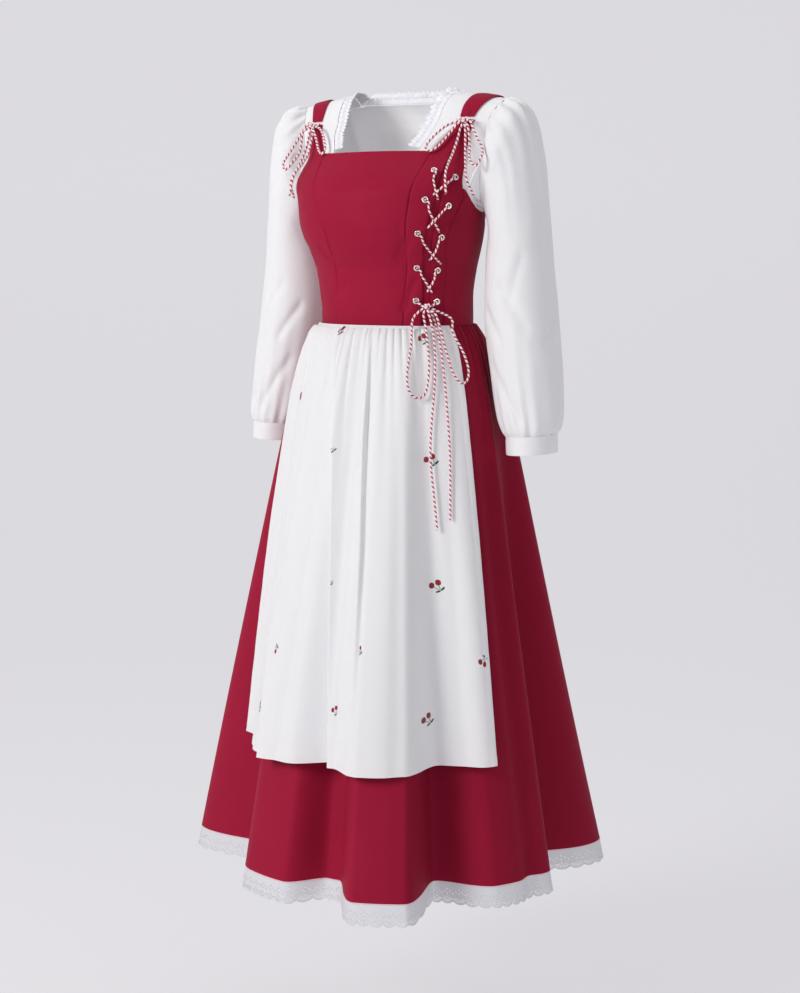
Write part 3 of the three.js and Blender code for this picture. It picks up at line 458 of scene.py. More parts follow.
waistZ, hemZ, capZ = -368.0, -1249.0, -40.0
figure = {
    "at": [-400, -368, -330, -281, -226, -200, -165, -140, -92, -40],
    "wide": [128, 128, 129, 134, 150, 154, 159, 172, 185, 205],
    "front": [97, 97, 98, 102, 114, 118, 118, 114, 100, 61],
    "back": [97, 97, 98, 102, 110, 112, 116, 112, 92, 65],
    "shift": [-10, -10, -12, -13, -24, -27, -29, -22, 4, 14],
    "powerFront": [2.1, 2.1, 2.1, 2.1, 2.15, 2.2, 2.1, 1.95, 1.6, 2],
    "powerBack": [2.1, 2.1, 2.1, 2.2, 2.25, 2.3, 2.35, 2.4, 2.6, 2.6],
}
ridge = {"y": 22, "z": 9, "from": 95, "slope": 0.17}


def figureAt(angle, z):
    # A squared ellipse at each level: width times a power of the sine, depth times a power of the cosine
    angle, z = np.broadcast_arrays(np.asarray(angle, float), np.asarray(z, float))
    s, c = np.sin(angle), np.cos(angle)
    power = 2 / np.where(c >= 0, readTable(figure, "powerFront", z), readTable(figure, "powerBack", z))
    depth = np.where(c >= 0, -readTable(figure, "front", z), readTable(figure, "back", z))
    x = readTable(figure, "wide", z) * np.sign(s) * np.abs(s) ** power
    return np.stack([x, readTable(figure, "shift", z) + depth * np.abs(c) ** power, z], -1)


def angleOf(x, z):
    # The angle at which the front of the figure is x from the middle
    share = np.clip(np.abs(x) / readTable(figure, "wide", z), 0, 1)
    return np.sign(x) * np.arcsin(share ** (readTable(figure, "powerFront", z) / 2))


def depthAt(x, z, behind):
    # How far forward or back the figure is at x: the shift, and the depth times the oval's share there
    power = np.where(behind, readTable(figure, "powerBack", z), readTable(figure, "powerFront", z))
    share = np.clip(np.abs(x) / readTable(figure, "wide", z), 0, 1)
    depth = (1 - share**power) ** (1 / power)
    far = np.where(behind, readTable(figure, "back", z), -readTable(figure, "front", z))
    return readTable(figure, "shift", z) + depth * far


def shoulderAt(x, way):
    # The figure by distance from the middle and the way over the shoulder: below capZ each unit is 100 mm
    # of height, above it a curve bends over from the chest to the ridge
    x, way = np.broadcast_arrays(np.asarray(x, float), np.asarray(way, float))
    behind, reach = way > 0, np.abs(way)
    z = capZ - np.maximum(0, reach - 1) * 100
    top = ridge["z"] - ridge["slope"] * np.maximum(0, np.abs(x) - ridge["from"])
    low = depthAt(x, np.full_like(x, capZ), behind)
    t = np.clip(1 - reach, 0, 1)
    bendY = mixed(low, ridge["y"], 0.34)
    y = (1 - t) ** 2 * low + 2 * t * (1 - t) * bendY + t * t * ridge["y"]
    up = (1 - t) ** 2 * capZ + 2 * t * (1 - t) * top + t * t * top
    return np.stack([x, np.where(reach >= 1, depthAt(x, z, behind), y), np.where(reach >= 1, z, up)], -1)


def shareGrid(rows, columns):
    # Two shares from 0 to 1 over a grid: u across it and v up it
    return np.meshgrid(np.linspace(0, 1, columns), np.linspace(0, 1, rows))


princessSeam = {"at": [-368, -307, -228, -165, -125, -92, -66, -42],
                "right": [58, 54, 57, 80, 94, 102, 118, 128], "left": [62, 68, 81, 91, 96, 100, 116, 131]}
lacingLine = {"at": [-368, -328, -275, -246, -202, -156, -128, -104, -92, -66, -42],
              "x": [91, 94.5, 98.5, 105.5, 118.5, 128, 129, 127.5, 128, 133, 142],
              "half": [4, 5, 5.3, 5.3, 5, 3.5, 2, 0.6, 0.25, 0.25, 0.25]}
outerSeam = {"at": [-368, -330, -253, -213, -180, -150, -110, -92, -66, -42],
             "x": [112, 114, 124, 136, 147, 154, 150, 147, 149.5, 153]}
bodice = {"lift": 2.6, "wall": 1.3, "neckTop": -92.0, "backTop": -150.0, "tabTop": -42.0, "dip": 36.0,
          "backSeam": 128.0, "overlap": 0.12 / 130, "seamDepth": 1.7, "seamWidth": 1.5, "crease": 0.9,
          "placketRise": 1.9, "placketWide": 26, "dipFrom": -301, "puckerStep": 3.1, "puckerDepth": 0.14,
          "puckerIn": 5, "puckerWidth": 4, "strainHigh": 26, "innerLayers": 0.6}


def bodiceOut(p):
    # How far the cloth's inner face stands off the figure; it rises a little over the placket
    line = readTable(lacingLine, "x", p[..., 2])
    away = np.where((p[..., 0] > 0) & (p[..., 1] < 20), (p[..., 0] - line) / bodice["placketWide"], 9)
    return bodice["lift"] + bodice["placketRise"] * np.exp(-away * away)


# Creases: from and to, across and up, then width and depth
bodiceCreases = [(-80, -240, -56, -264, 7, -2.2), (-70, -330, -30, -300, 8, -1.8),
                 (88, -228, 60, -262, 7, -2.4), (62, -345, 84, -290, 6, -2.2),
                 (128, -350, 150, -290, 6, -2.4), (120, -210, 150, -190, 7, -2.0),
                 (-118, -250, -146, -226, 7, -2.4), (-116, -346, -140, -300, 7, -2.0),
                 (76, -200, 68, -350, 6, -0.9)]


def bodicePanel(name, leftAngle, rightAngle, topZ, columns, rows, material, dip=0.0, seed=1, edges=(1, 1),
                strain=0.0):
    # Between two seam lines from the waist to its top; the cloth turns in at its seams, and soft creases
    # run across it
    u, v = shareGrid(rows, columns)
    u = 0.5 - 0.5 * np.cos(np.pi * u)
    level = mixed(waistZ, topZ, v)
    rise = eased((level - bodice["dipFrom"]) / (topZ - bodice["dipFrom"]))
    z = level - dip * np.sin(np.pi * u) ** 1.5 * rise
    base = figureAt(mixed(leftAngle(level), rightAngle(level), u), z)
    out = bodiceOut(base) + bodice["wall"]
    width = np.linalg.norm(base[:, -1] - base[:, 0], axis=-1)[:, None]
    nearLeft, nearRight = u * width, (1 - u) * width
    roll = (edges[0] * np.exp(-(nearLeft / bodice["seamWidth"]) ** 2)
            + edges[1] * np.exp(-(nearRight / bodice["seamWidth"]) ** 2))
    pucker = np.sin(z / bodice["puckerStep"] + ripples(seed, z, u, 4, 30, 1)) * bodice["puckerDepth"]
    beside = (np.exp(-((nearLeft - bodice["puckerIn"]) / bodice["puckerWidth"]) ** 2)
              + np.exp(-((nearRight - bodice["puckerIn"]) / bodice["puckerWidth"]) ** 2))
    soft = ripples(seed + 7, base[..., 0], z, 9, 55, 30, 1.6) * bodice["crease"]
    out = out - bodice["seamDepth"] * roll + pucker * beside + soft * (1 - roll * 0.8).clip(0, 1)
    pulled = strain * np.exp(-((z - waistZ) / bodice["strainHigh"]) ** 2)
    out = out + pulled * ripples(seed + 3, base[..., 0], z, 5, 9, 60, 1.4)
    # Slanting creases under the bust and above the waist
    for one in bodiceCreases:
        out = out + one[-1] * crease(base[..., 0] + 0 * z, z, *one[:-1]) * (base[..., 1] < 30)
    points = lifted(base, np.maximum(out, bodice["wall"] + bodice["innerLayers"]))
    return makeCloth(name, points, material, [name], bodice["wall"])


def seamAngle(table, side, column="x", by=0.0):
    # The angle of a seam at each height, turned by a little
    return lambda z: angleOf(side * readTable(table, column, z), z) + by


def lacingAngle(side):
    # The angle of one edge of the laced slit
    return lambda z: angleOf(readTable(lacingLine, "x", z) + side * readTable(lacingLine, "half", z), z)


def figureNormal(x, z):
    # Square to the figure's front: the step across times the step up, each 4 mm long
    d = 2.0
    across = figureAt(angleOf(x + d, z), z) - figureAt(angleOf(x - d, z), z)
    up = figureAt(angleOf(x, z + d), z + d) - figureAt(angleOf(x, z - d), z - d)
    return unit(np.cross(across, up))


def onBodice(x, z, out):
    # Places off the bodice's outer face, given across, up and out
    x, z, out = (np.asarray(a, float) for a in np.broadcast_arrays(x, z, out))
    at = figureAt(angleOf(x, z), z)
    return at + figureNormal(x, z) * (bodiceOut(at) + bodice["wall"] + out)[..., None]


placket = {"top": -110, "half": 13, "lift": 2.5, "wall": 1.0}


def makeBodice(material):
    # Seven panels from seam to seam, a hair over one another, and the placket behind the slit
    gap = -bodice["overlap"]
    back = np.radians(bodice["backSeam"])

    def fixed(angle):
        # A seam that keeps its angle
        return lambda z: angle + 0 * z
    bodicePanel("bodice_front", seamAngle(princessSeam, -1, "right", gap),
                seamAngle(princessSeam, 1, "left", -gap), bodice["neckTop"], 80, 90, material, seed=11,
                strain=0.25)
    bodicePanel("bodice_side_front_right", seamAngle(outerSeam, -1, "x", gap),
                seamAngle(princessSeam, -1, "right", -gap), bodice["tabTop"], 30, 110, material, seed=12,
                strain=0.2)
    bodicePanel("bodice_lacing_inner_left", seamAngle(princessSeam, 1, "left", gap), lacingAngle(-1),
                bodice["tabTop"], 24, 110, material, seed=13, edges=(1, 0.4), strain=0.2)
    bodicePanel("bodice_lacing_outer_left", lacingAngle(1), seamAngle(outerSeam, 1, "x", -gap),
                bodice["tabTop"], 24, 110, material, seed=14, edges=(0.4, 1), strain=0.2)
    bodicePanel("bodice_side_left", seamAngle(outerSeam, 1, "x", gap), fixed(back - gap), bodice["backTop"],
                60, 72, material, dip=bodice["dip"], seed=15, strain=0.3)
    bodicePanel("bodice_side_right", fixed(-back + gap), seamAngle(outerSeam, -1, "x", -gap),
                bodice["backTop"], 60, 72, material, dip=bodice["dip"], seed=16, strain=0.3)
    bodicePanel("bodice_back", fixed(back + gap), fixed(2 * np.pi - back - gap), bodice["backTop"], 76, 70,
                material, seed=17, strain=0.3)
    u, v = shareGrid(100, 12)
    z = mixed(waistZ, placket["top"], v)
    x = readTable(lacingLine, "x", z) + mixed(-placket["half"], placket["half"], u)
    base = figureAt(angleOf(x, z), z)
    points = lifted(base, placket["lift"] + 0.25 * ripples(5, base[..., 0], z, 6, 6, 14))
    makeCloth("lacing_placket", points, material, ["lacing_placket"], placket["wall"])


strap = {"wide": 28, "edgeWidth": 2.2, "edgeDrop": 0.8, "stitchIn": 3.2, "stitchWidth": 0.9,
         "stitchDepth": 0.25, "creases": 9, "creaseDepth": 1.5}
strapEdge = {"at": [-0.96, -0.8, -0.5, -0.2, 0, 1, 2.09], "inner": [130, 130, 133, 138, 143, 132, 108],
             "outer": [152, 156, 164, 171, 175, 167, 152]}


def makeStrap(name, side, material):
    # Over the shoulder between two edges, each turned in and stitched
    u, v = shareGrid(110, 22)
    way = mixed(strapEdge["at"][0], strapEdge["at"][-1], v)
    across = u if side > 0 else 1 - u
    x = mixed(readTable(strapEdge, "inner", way), readTable(strapEdge, "outer", way), across)
    base = shoulderAt(side * x, way)
    near = np.minimum(u, 1 - u) * strap["wide"]
    edge = (np.exp(-((u * strap["wide"]) / strap["edgeWidth"]) ** 2)
            + np.exp(-(((1 - u) * strap["wide"]) / strap["edgeWidth"]) ** 2))
    stitches = np.exp(-((near - strap["stitchIn"]) / strap["stitchWidth"]) ** 2)
    out = bodice["lift"] + bodice["wall"] - strap["edgeDrop"] * edge - strap["stitchDepth"] * stitches
    # Creases that run out from the knot, where the strap is drawn together
    knot = shoulderPlace(0, 0, 0)
    dx, dz = side * base[..., 0] - knot[0], np.hypot(base[..., 2] - knot[2], base[..., 1] - knot[1])
    dz = dz * np.sign(base[..., 2] - knot[2])
    far = np.hypot(dx, dz)
    spokes = (0.5 + 0.5 * np.cos(strap["creases"] * np.arctan2(dz, dx) + 1)) ** 2
    out = out - strap["creaseDepth"] * np.exp(-((far - 7) / 17) ** 2) * spokes
    points = lifted(base, out + 0.3 * ripples(21 + side, x, way * 100, 6, 25, 16, 1.3))
    return makeCloth(name, points, material, [name], bodice["wall"])


armholeEnd = 2.36
armhole = {"at": [-2.36, -2.2, -1.9, -1.5, -1, -0.5, 0, 0.5, 1, 1.5, 1.9, 2.2, 2.36],
           "x": [157.3, 158.6, 163, 168, 174, 183, 189, 183, 175, 169, 163, 158.6, 157.3]}
neckEdge = {"at": [-1.7, -1.46, -1.2, -0.9, -0.5, -0.1, 0.55], "x": [77, 81, 92, 97, 101, 106, 108]}
blouse = {"lift": -0.6, "wall": 1.3, "hem": -249.0, "frontTop": -110.0, "backWay": 0.56, "gap": 0.35}


def wayOf(z, side):
    # The way over the shoulder that lies at a height, in front with side -1 and behind with 1
    return side * (1 + (capZ - z) / 100)


def blouseBody(name, side, topWay, columns, rows, material, seed):
    # Half of the blouse's trunk, from armhole seam to armhole seam round the figure
    u, v = shareGrid(rows, columns)
    way = mixed(wayOf(blouse["hem"], side), topWay, v)
    turn = -side * (u - 0.5) * np.pi * 0.9985
    level = capZ - np.maximum(0, np.abs(way) - 1) * 100
    edge = readTable(armhole, "x", np.clip(way, -armholeEnd, armholeEnd)) - blouse["gap"]
    power = 2 / readTable(figure, "powerFront" if side < 0 else "powerBack", level)
    x = edge * np.sign(np.sin(turn)) * np.abs(np.sin(turn)) ** power
    low = figureAt(turn if side < 0 else np.pi - turn, level)
    base = np.where((np.abs(way) > armholeEnd)[..., None], low, shoulderAt(x, way))
    soft = ripples(seed, base[..., 0], base[..., 2], 8, 24, 60, 1.5) * 0.35
    points = lifted(base, blouse["lift"] + blouse["wall"] - 0.2 + np.minimum(soft, 0.25))
    return makeCloth(name, points, material, [name], blouse["wall"])


def makeYoke(name, side, material):
    # From the neck's edge to the armhole, over the shoulder
    u, v = shareGrid(90, 32)
    way = mixed(wayOf(blouse["frontTop"], -1) + 0.005, blouse["backWay"] - 0.01, v)
    across = u if side > 0 else 1 - u
    edge = readTable(armhole, "x", way) - blouse["gap"]
    x = mixed(readTable(neckEdge, "x", way), edge, across)
    base = shoulderAt(side * x, way)
    soft = ripples(31, x, way * 100, 8, 20, 45, 1.5) * 0.35
    points = lifted(base, blouse["lift"] + blouse["wall"] + np.clip(soft, -0.5, 0.5))
    return makeCloth(name, points, material, [name], blouse["wall"])


neckFrill = {"high": 20.5, "waves": 25, "wave": 3.6, "start": -1.46, "scallops": 84, "tip": 4.4,
             "backReach": 107, "foot": 1.5, "sideEnd": 0.4, "backStart": 0.55, "rise": 0.14, "slopeOver": 8}


def neckPoint(t):
    # Up one side of the neck, along the back and down the other: places and the frill's lean
    side = np.where(t < 0.5, -1.0, 1.0)
    corner = neckFrill["sideEnd"]
    run = np.clip(np.where(t < 0.5, t, 1 - t) / corner, 0, 1)
    way = mixed(neckFrill["start"], neckFrill["backStart"], run)
    edge = readTable(neckEdge, "x", way)
    sides = shoulderAt(side * edge, way)
    beside = shoulderAt(side * (edge - neckFrill["slopeOver"]), way)
    inwards = unit(beside - sides) + [0, 0, neckFrill["rise"]]
    across = mixed(-neckFrill["backReach"], neckFrill["backReach"], (t - corner) / 0.2)
    back = shoulderAt(across, np.full_like(t, blouse["backWay"]))
    behind = ((t >= corner) & (t <= 0.6))[:, None]
    lean = np.where(behind, [0, 0.25, 1], inwards)
    return np.where(behind, back, sides), lean


def smoothed(values, width):
    # The mean of each place's neighbours, with the ends carried on
    padded = np.pad(values, ((width, width), (0, 0)), mode="edge")
    kernel = np.ones(2 * width + 1) / (2 * width + 1)
    return np.stack([np.convolve(padded[:, k], kernel, "valid") for k in range(values.shape[1])], 1)


def makeNeckFrill(material):
    # From a gathered foot to a waving, scalloped edge
    columns, rows = 960, 8
    t = np.linspace(0, 1, columns)
    at, lean = neckPoint(t)
    at, lean = smoothed(at, 7), unit(smoothed(lean, 26))
    along = unit(np.gradient(at, axis=0))
    face = unit(np.cross(along, lean))
    run = np.concatenate([[0], np.cumsum(np.linalg.norm(np.diff(at, axis=0), axis=1))])
    share = run / run[-1]
    beat = 2 * np.pi * neckFrill["waves"] * share + 0.9 * np.sin(17 * share) + 0.6 * np.sin(41 * share + 1)
    swing = np.cos(beat) * (0.75 + 0.25 * np.sin(23 * share + 2)) * (0.2 + 0.8 * eased((share - 0.36) / 0.2))
    scallop = np.abs(np.sin(np.pi * neckFrill["scallops"] * share))
    up = np.linspace(0, 1, rows)[:, None]
    tall = neckFrill["high"] - neckFrill["foot"] + neckFrill["tip"] * (scallop - 0.6)[None, :] * up**2
    high = neckFrill["foot"] + up * tall
    out = 0.5 + neckFrill["wave"] * swing * up**1.4 + 0.5 * np.sin(beat * 2.3) * (1 - up)
    points = at[None] + lean[None] * high[..., None] + face[None] * out[..., None]
    repeats = share * neckFrill["scallops"] * neckPattern["pitch"]
    uv = np.stack([np.broadcast_to(repeats, high.shape), high * 0.001], -1)
    return makeCloth("blouse_neck_frill", points, material, ["blouse_neck_frill"], 0.7, uv=uv)


sleeveRings = {
    "outerX": [206, 224, 241, 252, 260, 267, 276, 286, 292, 289, 283],
    "outerZ": [-9, -20, -52, -105, -180, -262, -345, -430, -500, -528, -540],
    "innerX": [165, 167, 168, 168, 165, 162, 165, 177, 190, 200, 208],
    "innerZ": [-181, -192, -208, -232, -268, -318, -376, -446, -510, -534, -544],
    "deep": [62, 66, 67, 66, 64, 65, 66, 65, 61, 55, 49],
    "y": [6, 11, 14, 16, 17, 17, 15, 10, 5, 3, 1],
}
sleeve = {"wall": 1.3, "headGathers": 17, "headDepth": 5.6, "cuffGathers": 15, "cuffDepth": 4.2,
          "folds": 5.6, "fineFolds": 1.1, "meanRadius": 66, "armpitFolds": 1.8, "armpitStep": 13}
# How strong the gathers are by ring: at the head, and above the cuff
headFade = {"at": [0, 1, 2, 3.2, 4.6, 5.5], "depth": [0.7, 1, 0.9, 0.5, 0.15, 0]}
cuffFade = {"at": [6.6, 8, 9, 9.8, 11], "depth": [0, 0.3, 0.75, 1, 0.8]}
# Creases about the elbow: from and to, round the arm and up, then width and depth
sleeveCreases = [(158, -338, 116, -396, 8, -4.5), (152, -430, 92, -520, 9, -4.0),
                 (120, -300, 60, -372, 10, -3.2), (-20, -330, 30, -400, 9, -3.5),
                 (60, -250, 95, -330, 10, -2.5), (-60, -300, -110, -380, 10, -3.5)]
cuff = {"high": 30, "lift": 0.6, "wall": 1.7, "stitchIn": 4, "stitchWidth": 0.8, "stitchDepth": 0.22,
        "edgeWidth": 1.6, "edgeDrop": 0.5, "slant": 1.5}


def throughRows(rows, at):
    # A smooth curve through whole rows of places: Catmull-Rom between them, the ends carried on
    rows = np.concatenate([2 * rows[:1] - rows[1:2], rows, 2 * rows[-1:] - rows[-2:-1]])
    i = np.clip(np.floor(at).astype(int), 0, len(rows) - 4)
    t = (at - i)[:, None, None]
    a, b, c, d = rows[i], rows[i + 1], rows[i + 2], rows[i + 3]
    return 0.5 * (2 * b + (c - a) * t + (2 * a - 5 * b + 4 * c - d) * t**2 + (3 * b - a - 3 * c + d) * t**3)


def sleeveBase(turn, rows):
    # Rings from the armhole seam to the cuff: a middle, a reach across and a depth at each
    way = -armholeEnd * turn / np.pi
    seam = shoulderAt(readTable(armhole, "x", way) + 1, way)
    rings = [seam]
    for k in range(len(sleeveRings["y"])):
        outer = np.array([sleeveRings["outerX"][k], sleeveRings["y"][k], sleeveRings["outerZ"][k]], float)
        inner = np.array([sleeveRings["innerX"][k], sleeveRings["y"][k], sleeveRings["innerZ"][k]], float)
        point = (outer + inner) / 2 + (outer - inner) / 2 * np.cos(turn)[:, None]
        point[:, 1] -= sleeveRings["deep"][k] * np.sin(turn)
        rings.append(mixed(point, seam, 0.3) if k == 0 else point)
    return throughRows(np.array(rings), np.linspace(0, len(rings) - 1, rows))


def makeSleeve(name, side, material):
    # The rings' surface with gathers at the head and the cuff, ripples where it hangs loose, slanting folds
    # at the armpit and creases about the elbow
    columns, rows = 190, 110
    turn = np.linspace(-np.pi, np.pi, columns, endpoint=False)
    base = sleeveBase(turn, rows)
    k = np.linspace(0, 11, rows)[:, None]
    angle = turn[None, :]
    head = np.interp(k, headFade["at"], headFade["depth"])
    end = np.interp(k, cuffFade["at"], cuffFade["depth"])
    top = eased((np.cos(angle) + 0.15) / 0.6)
    beat = sleeve["headGathers"] * angle + 0.8 * np.sin(2 * angle + 0.5) + 0.5 * np.sin(5 * angle) + 0.25 * k
    uneven = 0.7 + 0.3 * np.sin(3 * angle + k * 0.5)
    gathers = sleeve["headDepth"] * 0.5 * head * top * np.cos(beat) * uneven
    low = sleeve["cuffGathers"] * angle + 1.1 * np.sin(3 * angle + 1) + 0.35 * np.sin(k * 1.4)
    gathers = gathers + sleeve["cuffDepth"] * 0.5 * end * np.cos(low) * (0.65 + 0.35 * np.sin(5 * angle + 2))
    x, z = base[..., 0], base[..., 2]
    loose = eased((k - 1.6) / 2) * eased((10.3 - k) / 1.5)
    across = angle * sleeve["meanRadius"]
    folds = sleeve["folds"] * loose * ripples(41, across, z, 8, 46, 210, 1.7) * 0.5
    folds = folds + sleeve["fineFolds"] * loose * ripples(42, across + z * 0.5, z, 6, 26, 60, 1.9) * 0.5
    armpit = eased((-np.cos(angle) - 0.1) / 0.7) * np.exp(-((k - 3) / 1.8) ** 2)
    folds = folds + sleeve["armpitFolds"] * armpit * np.sin((x + z * 0.9) / sleeve["armpitStep"])
    for one in sleeveCreases:
        folds = folds + one[-1] * crease(across, z + 0 * across, *one[:-1])
    points = lifted(base, sleeve["wall"] + gathers + folds, True)
    if side < 0:
        points = points[:, ::-1] * np.array([-1, 1, 1])
    return makeCloth(name, points, material, [name], sleeve["wall"], around=True)


def makeCuff(name, side, material):
    # A straight band with a turned edge at top and bottom and two lines of stitches
    columns, rows = 120, 26
    turn = np.linspace(0, 2 * np.pi, columns, endpoint=False)
    half = (sleeveRings["outerX"][-1] - sleeveRings["innerX"][-1]) / 2 + cuff["lift"]
    middle = (sleeveRings["outerX"][-1] + sleeveRings["innerX"][-1]) / 2
    tilt = (sleeveRings["outerZ"][-1] - sleeveRings["innerZ"][-1]) / 2
    deep = sleeveRings["deep"][-1] + cuff["lift"]
    k = np.linspace(0, 1, rows)[:, None]
    down = k * cuff["high"]
    above = (1 - k) * cuff["high"]
    edge = np.exp(-(down / cuff["edgeWidth"]) ** 2) + np.exp(-(above / cuff["edgeWidth"]) ** 2)
    low = cuff["high"] - cuff["stitchIn"]
    sewn = (np.exp(-((down - cuff["stitchIn"]) / cuff["stitchWidth"]) ** 2)
            + np.exp(-((down - low) / cuff["stitchWidth"]) ** 2))
    out = cuff["wall"] - cuff["edgeDrop"] * edge - cuff["stitchDepth"] * sewn
    out = out + 0.25 * ripples(51, turn[None] * 40, down, 6, 14, 18, 1.3)
    x = middle + (half + out) * np.cos(turn) + k * cuff["slant"]
    level = (sleeveRings["outerZ"][-1] + sleeveRings["innerZ"][-1]) / 2
    z = level + tilt * np.cos(turn) - 0.4 - down
    y = sleeveRings["y"][-1] - (deep + out) * np.sin(turn)
    points = np.stack([x, y + 0 * x, z + 0 * x], -1)
    if side < 0:
        points = points[:, ::-1] * np.array([-1, 1, 1])
    return makeCloth(name, points, material, [name], cuff["wall"], around=True)


# The hem's folds, and how the gathers fade down the skirt. The apron's band ends at its reach, in degrees
apronReach = 66
hemFolds = {
    "at": [-180, -155, -133, -111, -89, -68, -46, -22, -7, 4, 8, 18, 31, 43, 60, 80, 94, 115, 137, 159,
           180],
    "radius": [264, 345, 262, 344, 268, 352, 243, 312, 313, 264, 264, 353, 354, 254, 312, 317, 275, 345,
               265, 342, 264],
}
gatherFade = {"at": [-368, -392, -440, -560, -760, -1400], "depth": [0.75, 1, 0.75, 0.2, 0, 0]}
skirt = {"lift": 3.9, "spring": 27.0, "springRun": 0.06, "gatherDepth": 3.2, "wall": 1.3, "gores": 6,
         "soft": 3.0}
hemLace = {"drop": 35.0, "wall": 0.8, "pieces": 4, "pitch": 17.0, "scallop": 4.6, "gap": 0.35,
           "piping": 1.0}


def underApron(degrees):
    # 1 below the apron and 0 beyond its band
    return eased((apronReach - np.abs(degrees)) / 8)


def skirtRadius(angle, z, gather=0.0):
    # From the waist's ring the cloth springs out over the gathers and falls straight to the folds of the hem
    degrees = (np.degrees(angle) + 540) % 360 - 180
    t = np.clip((waistZ - z) / (waistZ - hemZ), 0, 1.05)
    top = figureAt(angle, waistZ + 0 * angle)
    waist = np.hypot(top[..., 0], top[..., 1]) + skirt["lift"]
    hem = readTable(hemFolds, "radius", degrees) - skirt["spring"]
    spring = skirt["spring"] * (1 - np.exp(-t / skirt["springRun"]))
    fade = readTable(gatherFade, "depth", z) * mixed(1, 0.3, underApron(degrees))
    return mixed(waist, hem, t) + spring + skirt["gatherDepth"] * fade * gather


skirtGathers = {"count": 96, "seed": 71, "span": 6.2832, "start": -3.1416, "deep": (2.6, 6.5),
                "long": (30, 130), "drift": 0.00008, "narrow": 0.0135, "spread": 0.00011}


# Narrow hollows beside the big folds, round the waist's axis
skirtHollows = [{"angle": 1, "wide": 5.5, "deep": 14}, {"angle": 39, "wide": 4, "deep": 13},
                {"angle": 73, "wide": 3.5, "deep": 11}, {"angle": 85, "wide": 3, "deep": 9},
                {"angle": -34, "wide": 3.5, "deep": 6}, {"angle": 97, "wide": 5.5, "deep": 17},
                {"angle": -100, "wide": 4, "deep": 8}, {"angle": 150, "wide": 5, "deep": 9},
                {"angle": -145, "wide": 5, "deep": 9}]


def skirtDetail(angle, z):
    # Gathers at the waist, a few of them long, and slack between the big folds
    t = np.clip((waistZ - z) / (waistZ - hemZ), 0, 1.05)
    slack = np.sin(11 * angle + 1.7 * np.sin(3 * angle) + 1.5 * t) * np.sin(np.pi * np.clip(t, 0, 1)) ** 0.8
    wide = np.sin(23 * angle + 0.8 * np.sin(4 * angle) + 0.6) * eased(t * 7) * np.clip(1 - t, 0, 1) ** 1.5
    soft = skirt["soft"] * (wide * 0.8 + slack * 0.7)
    for hollow in skirtHollows:
        away = (np.degrees(angle) - hollow["angle"] + 540) % 360 - 180
        soft = soft - hollow["deep"] * eased((t - 0.04) / 0.6) * np.exp(-(away / hollow["wide"]) ** 2)
    return grooves(angle, waistZ - z, skirtGathers, 2 * np.pi), soft


def plan(angle, r, z):
    # A place from its angle round the waist's axis, its distance from it and its height
    return np.stack([r * np.sin(angle), -r * np.cos(angle), z + 0 * angle], -1)


def skirtPoints(angle, z, out):
    # The skirt's outer face, flatter below the apron, moved out along its normal
    gathered, slack = skirtDetail(angle, z)
    keep = 1 - 0.75 * underApron((np.degrees(angle) + 540) % 360 - 180)
    base = plan(angle, skirtRadius(angle, z, 0.7) + (gathered + slack) * keep, z)
    return lifted(base, np.broadcast_to(out, base.shape[:-1]))


def makeSkirt(material):
    # The whole skirt is worked out as one surface, so that its widths meet without a step, then cut into them
    rows, across = 80, 130
    u, v = shareGrid(rows, across * skirt["gores"] + 1)
    z = mixed(hemZ, -368.35, 1 - (1 - v) ** 1.5)
    whole = skirtPoints(-np.pi + 2 * np.pi * u, z, 0.0)
    for g in range(skirt["gores"]):
        name = f"skirt_gore_{g + 1}"
        part = whole[:, g * across:(g + 1) * across + 1]
        makeCloth(name, part, material, [name], skirt["wall"])


def makeHemLace(material, trim):
    # A strip that hangs from the hem, its lower edge in scallops, with piping along its top
    total, meanRadius = 2 * np.pi, 305
    count = round(total * meanRadius / hemLace["pitch"] / hemLace["pieces"]) * hemLace["pieces"]
    for g in range(hemLace["pieces"]):
        u, v = shareGrid(9, 420)
        angle = -np.pi + (g + u) * total / hemLace["pieces"]
        beat = (g + u) * count / hemLace["pieces"]
        scallop = np.abs(np.sin(np.pi * beat)) ** 0.7
        drop = hemLace["drop"] - hemLace["scallop"] * (1 - scallop)
        z = hemZ - hemLace["gap"] - (1 - v) * (drop - hemLace["gap"])
        ruffle = 0.7 * np.sin(beat * 2.1 + np.sin(beat * 0.7)) * (1 - v) ** 1.5
        points = skirtPoints(angle, np.minimum(z, hemZ), -0.4 + ruffle)
        points[..., 2] = z
        uv = np.stack([beat * hemLace["pitch"], z - hemZ + hemLace["drop"]], -1) * 0.001
        name = f"hem_lace_{g + 1}"
        makeCloth(name, points, material, [name], hemLace["wall"], uv=uv)
    angle = np.linspace(-np.pi, np.pi, 900, endpoint=False)
    level = hemZ + np.array([[1.0], [0], [-1.0]]) + 0 * angle[None]
    line = skirtPoints(angle[None].repeat(3, 0), level, 0.4)[1]
    line[:, 2] = hemZ - 0.4
    piping = joinMeshes("hem_piping", [cordMesh(line, hemLace["piping"], 8, loop=True, ply=0.0)])
    showPiece(piping, [], [trim])


apron = {"bandTop": -367.2, "bandBottom": -373.5, "gatherDepth": 3.0, "wall": 1.2, "top": -371.6,
         "bottom": -1056.0, "hem": 14.0, "sideHem": 9.0, "slack": 3.0, "off": 5.2, "bridge": 0.32,
         "ease": 1.0, "growOver": 420, "stitchWidth": 1.3, "stitchDepth": 0.45, "hemThick": 0.5,
         "sideHemThick": 0.4}
apronEdge = {"at": [-368, -450, -600, -760, -1060], "right": [66, 65, 64, 63, 61],
             "left": [-66, -61, -56.5, -54, -50]}


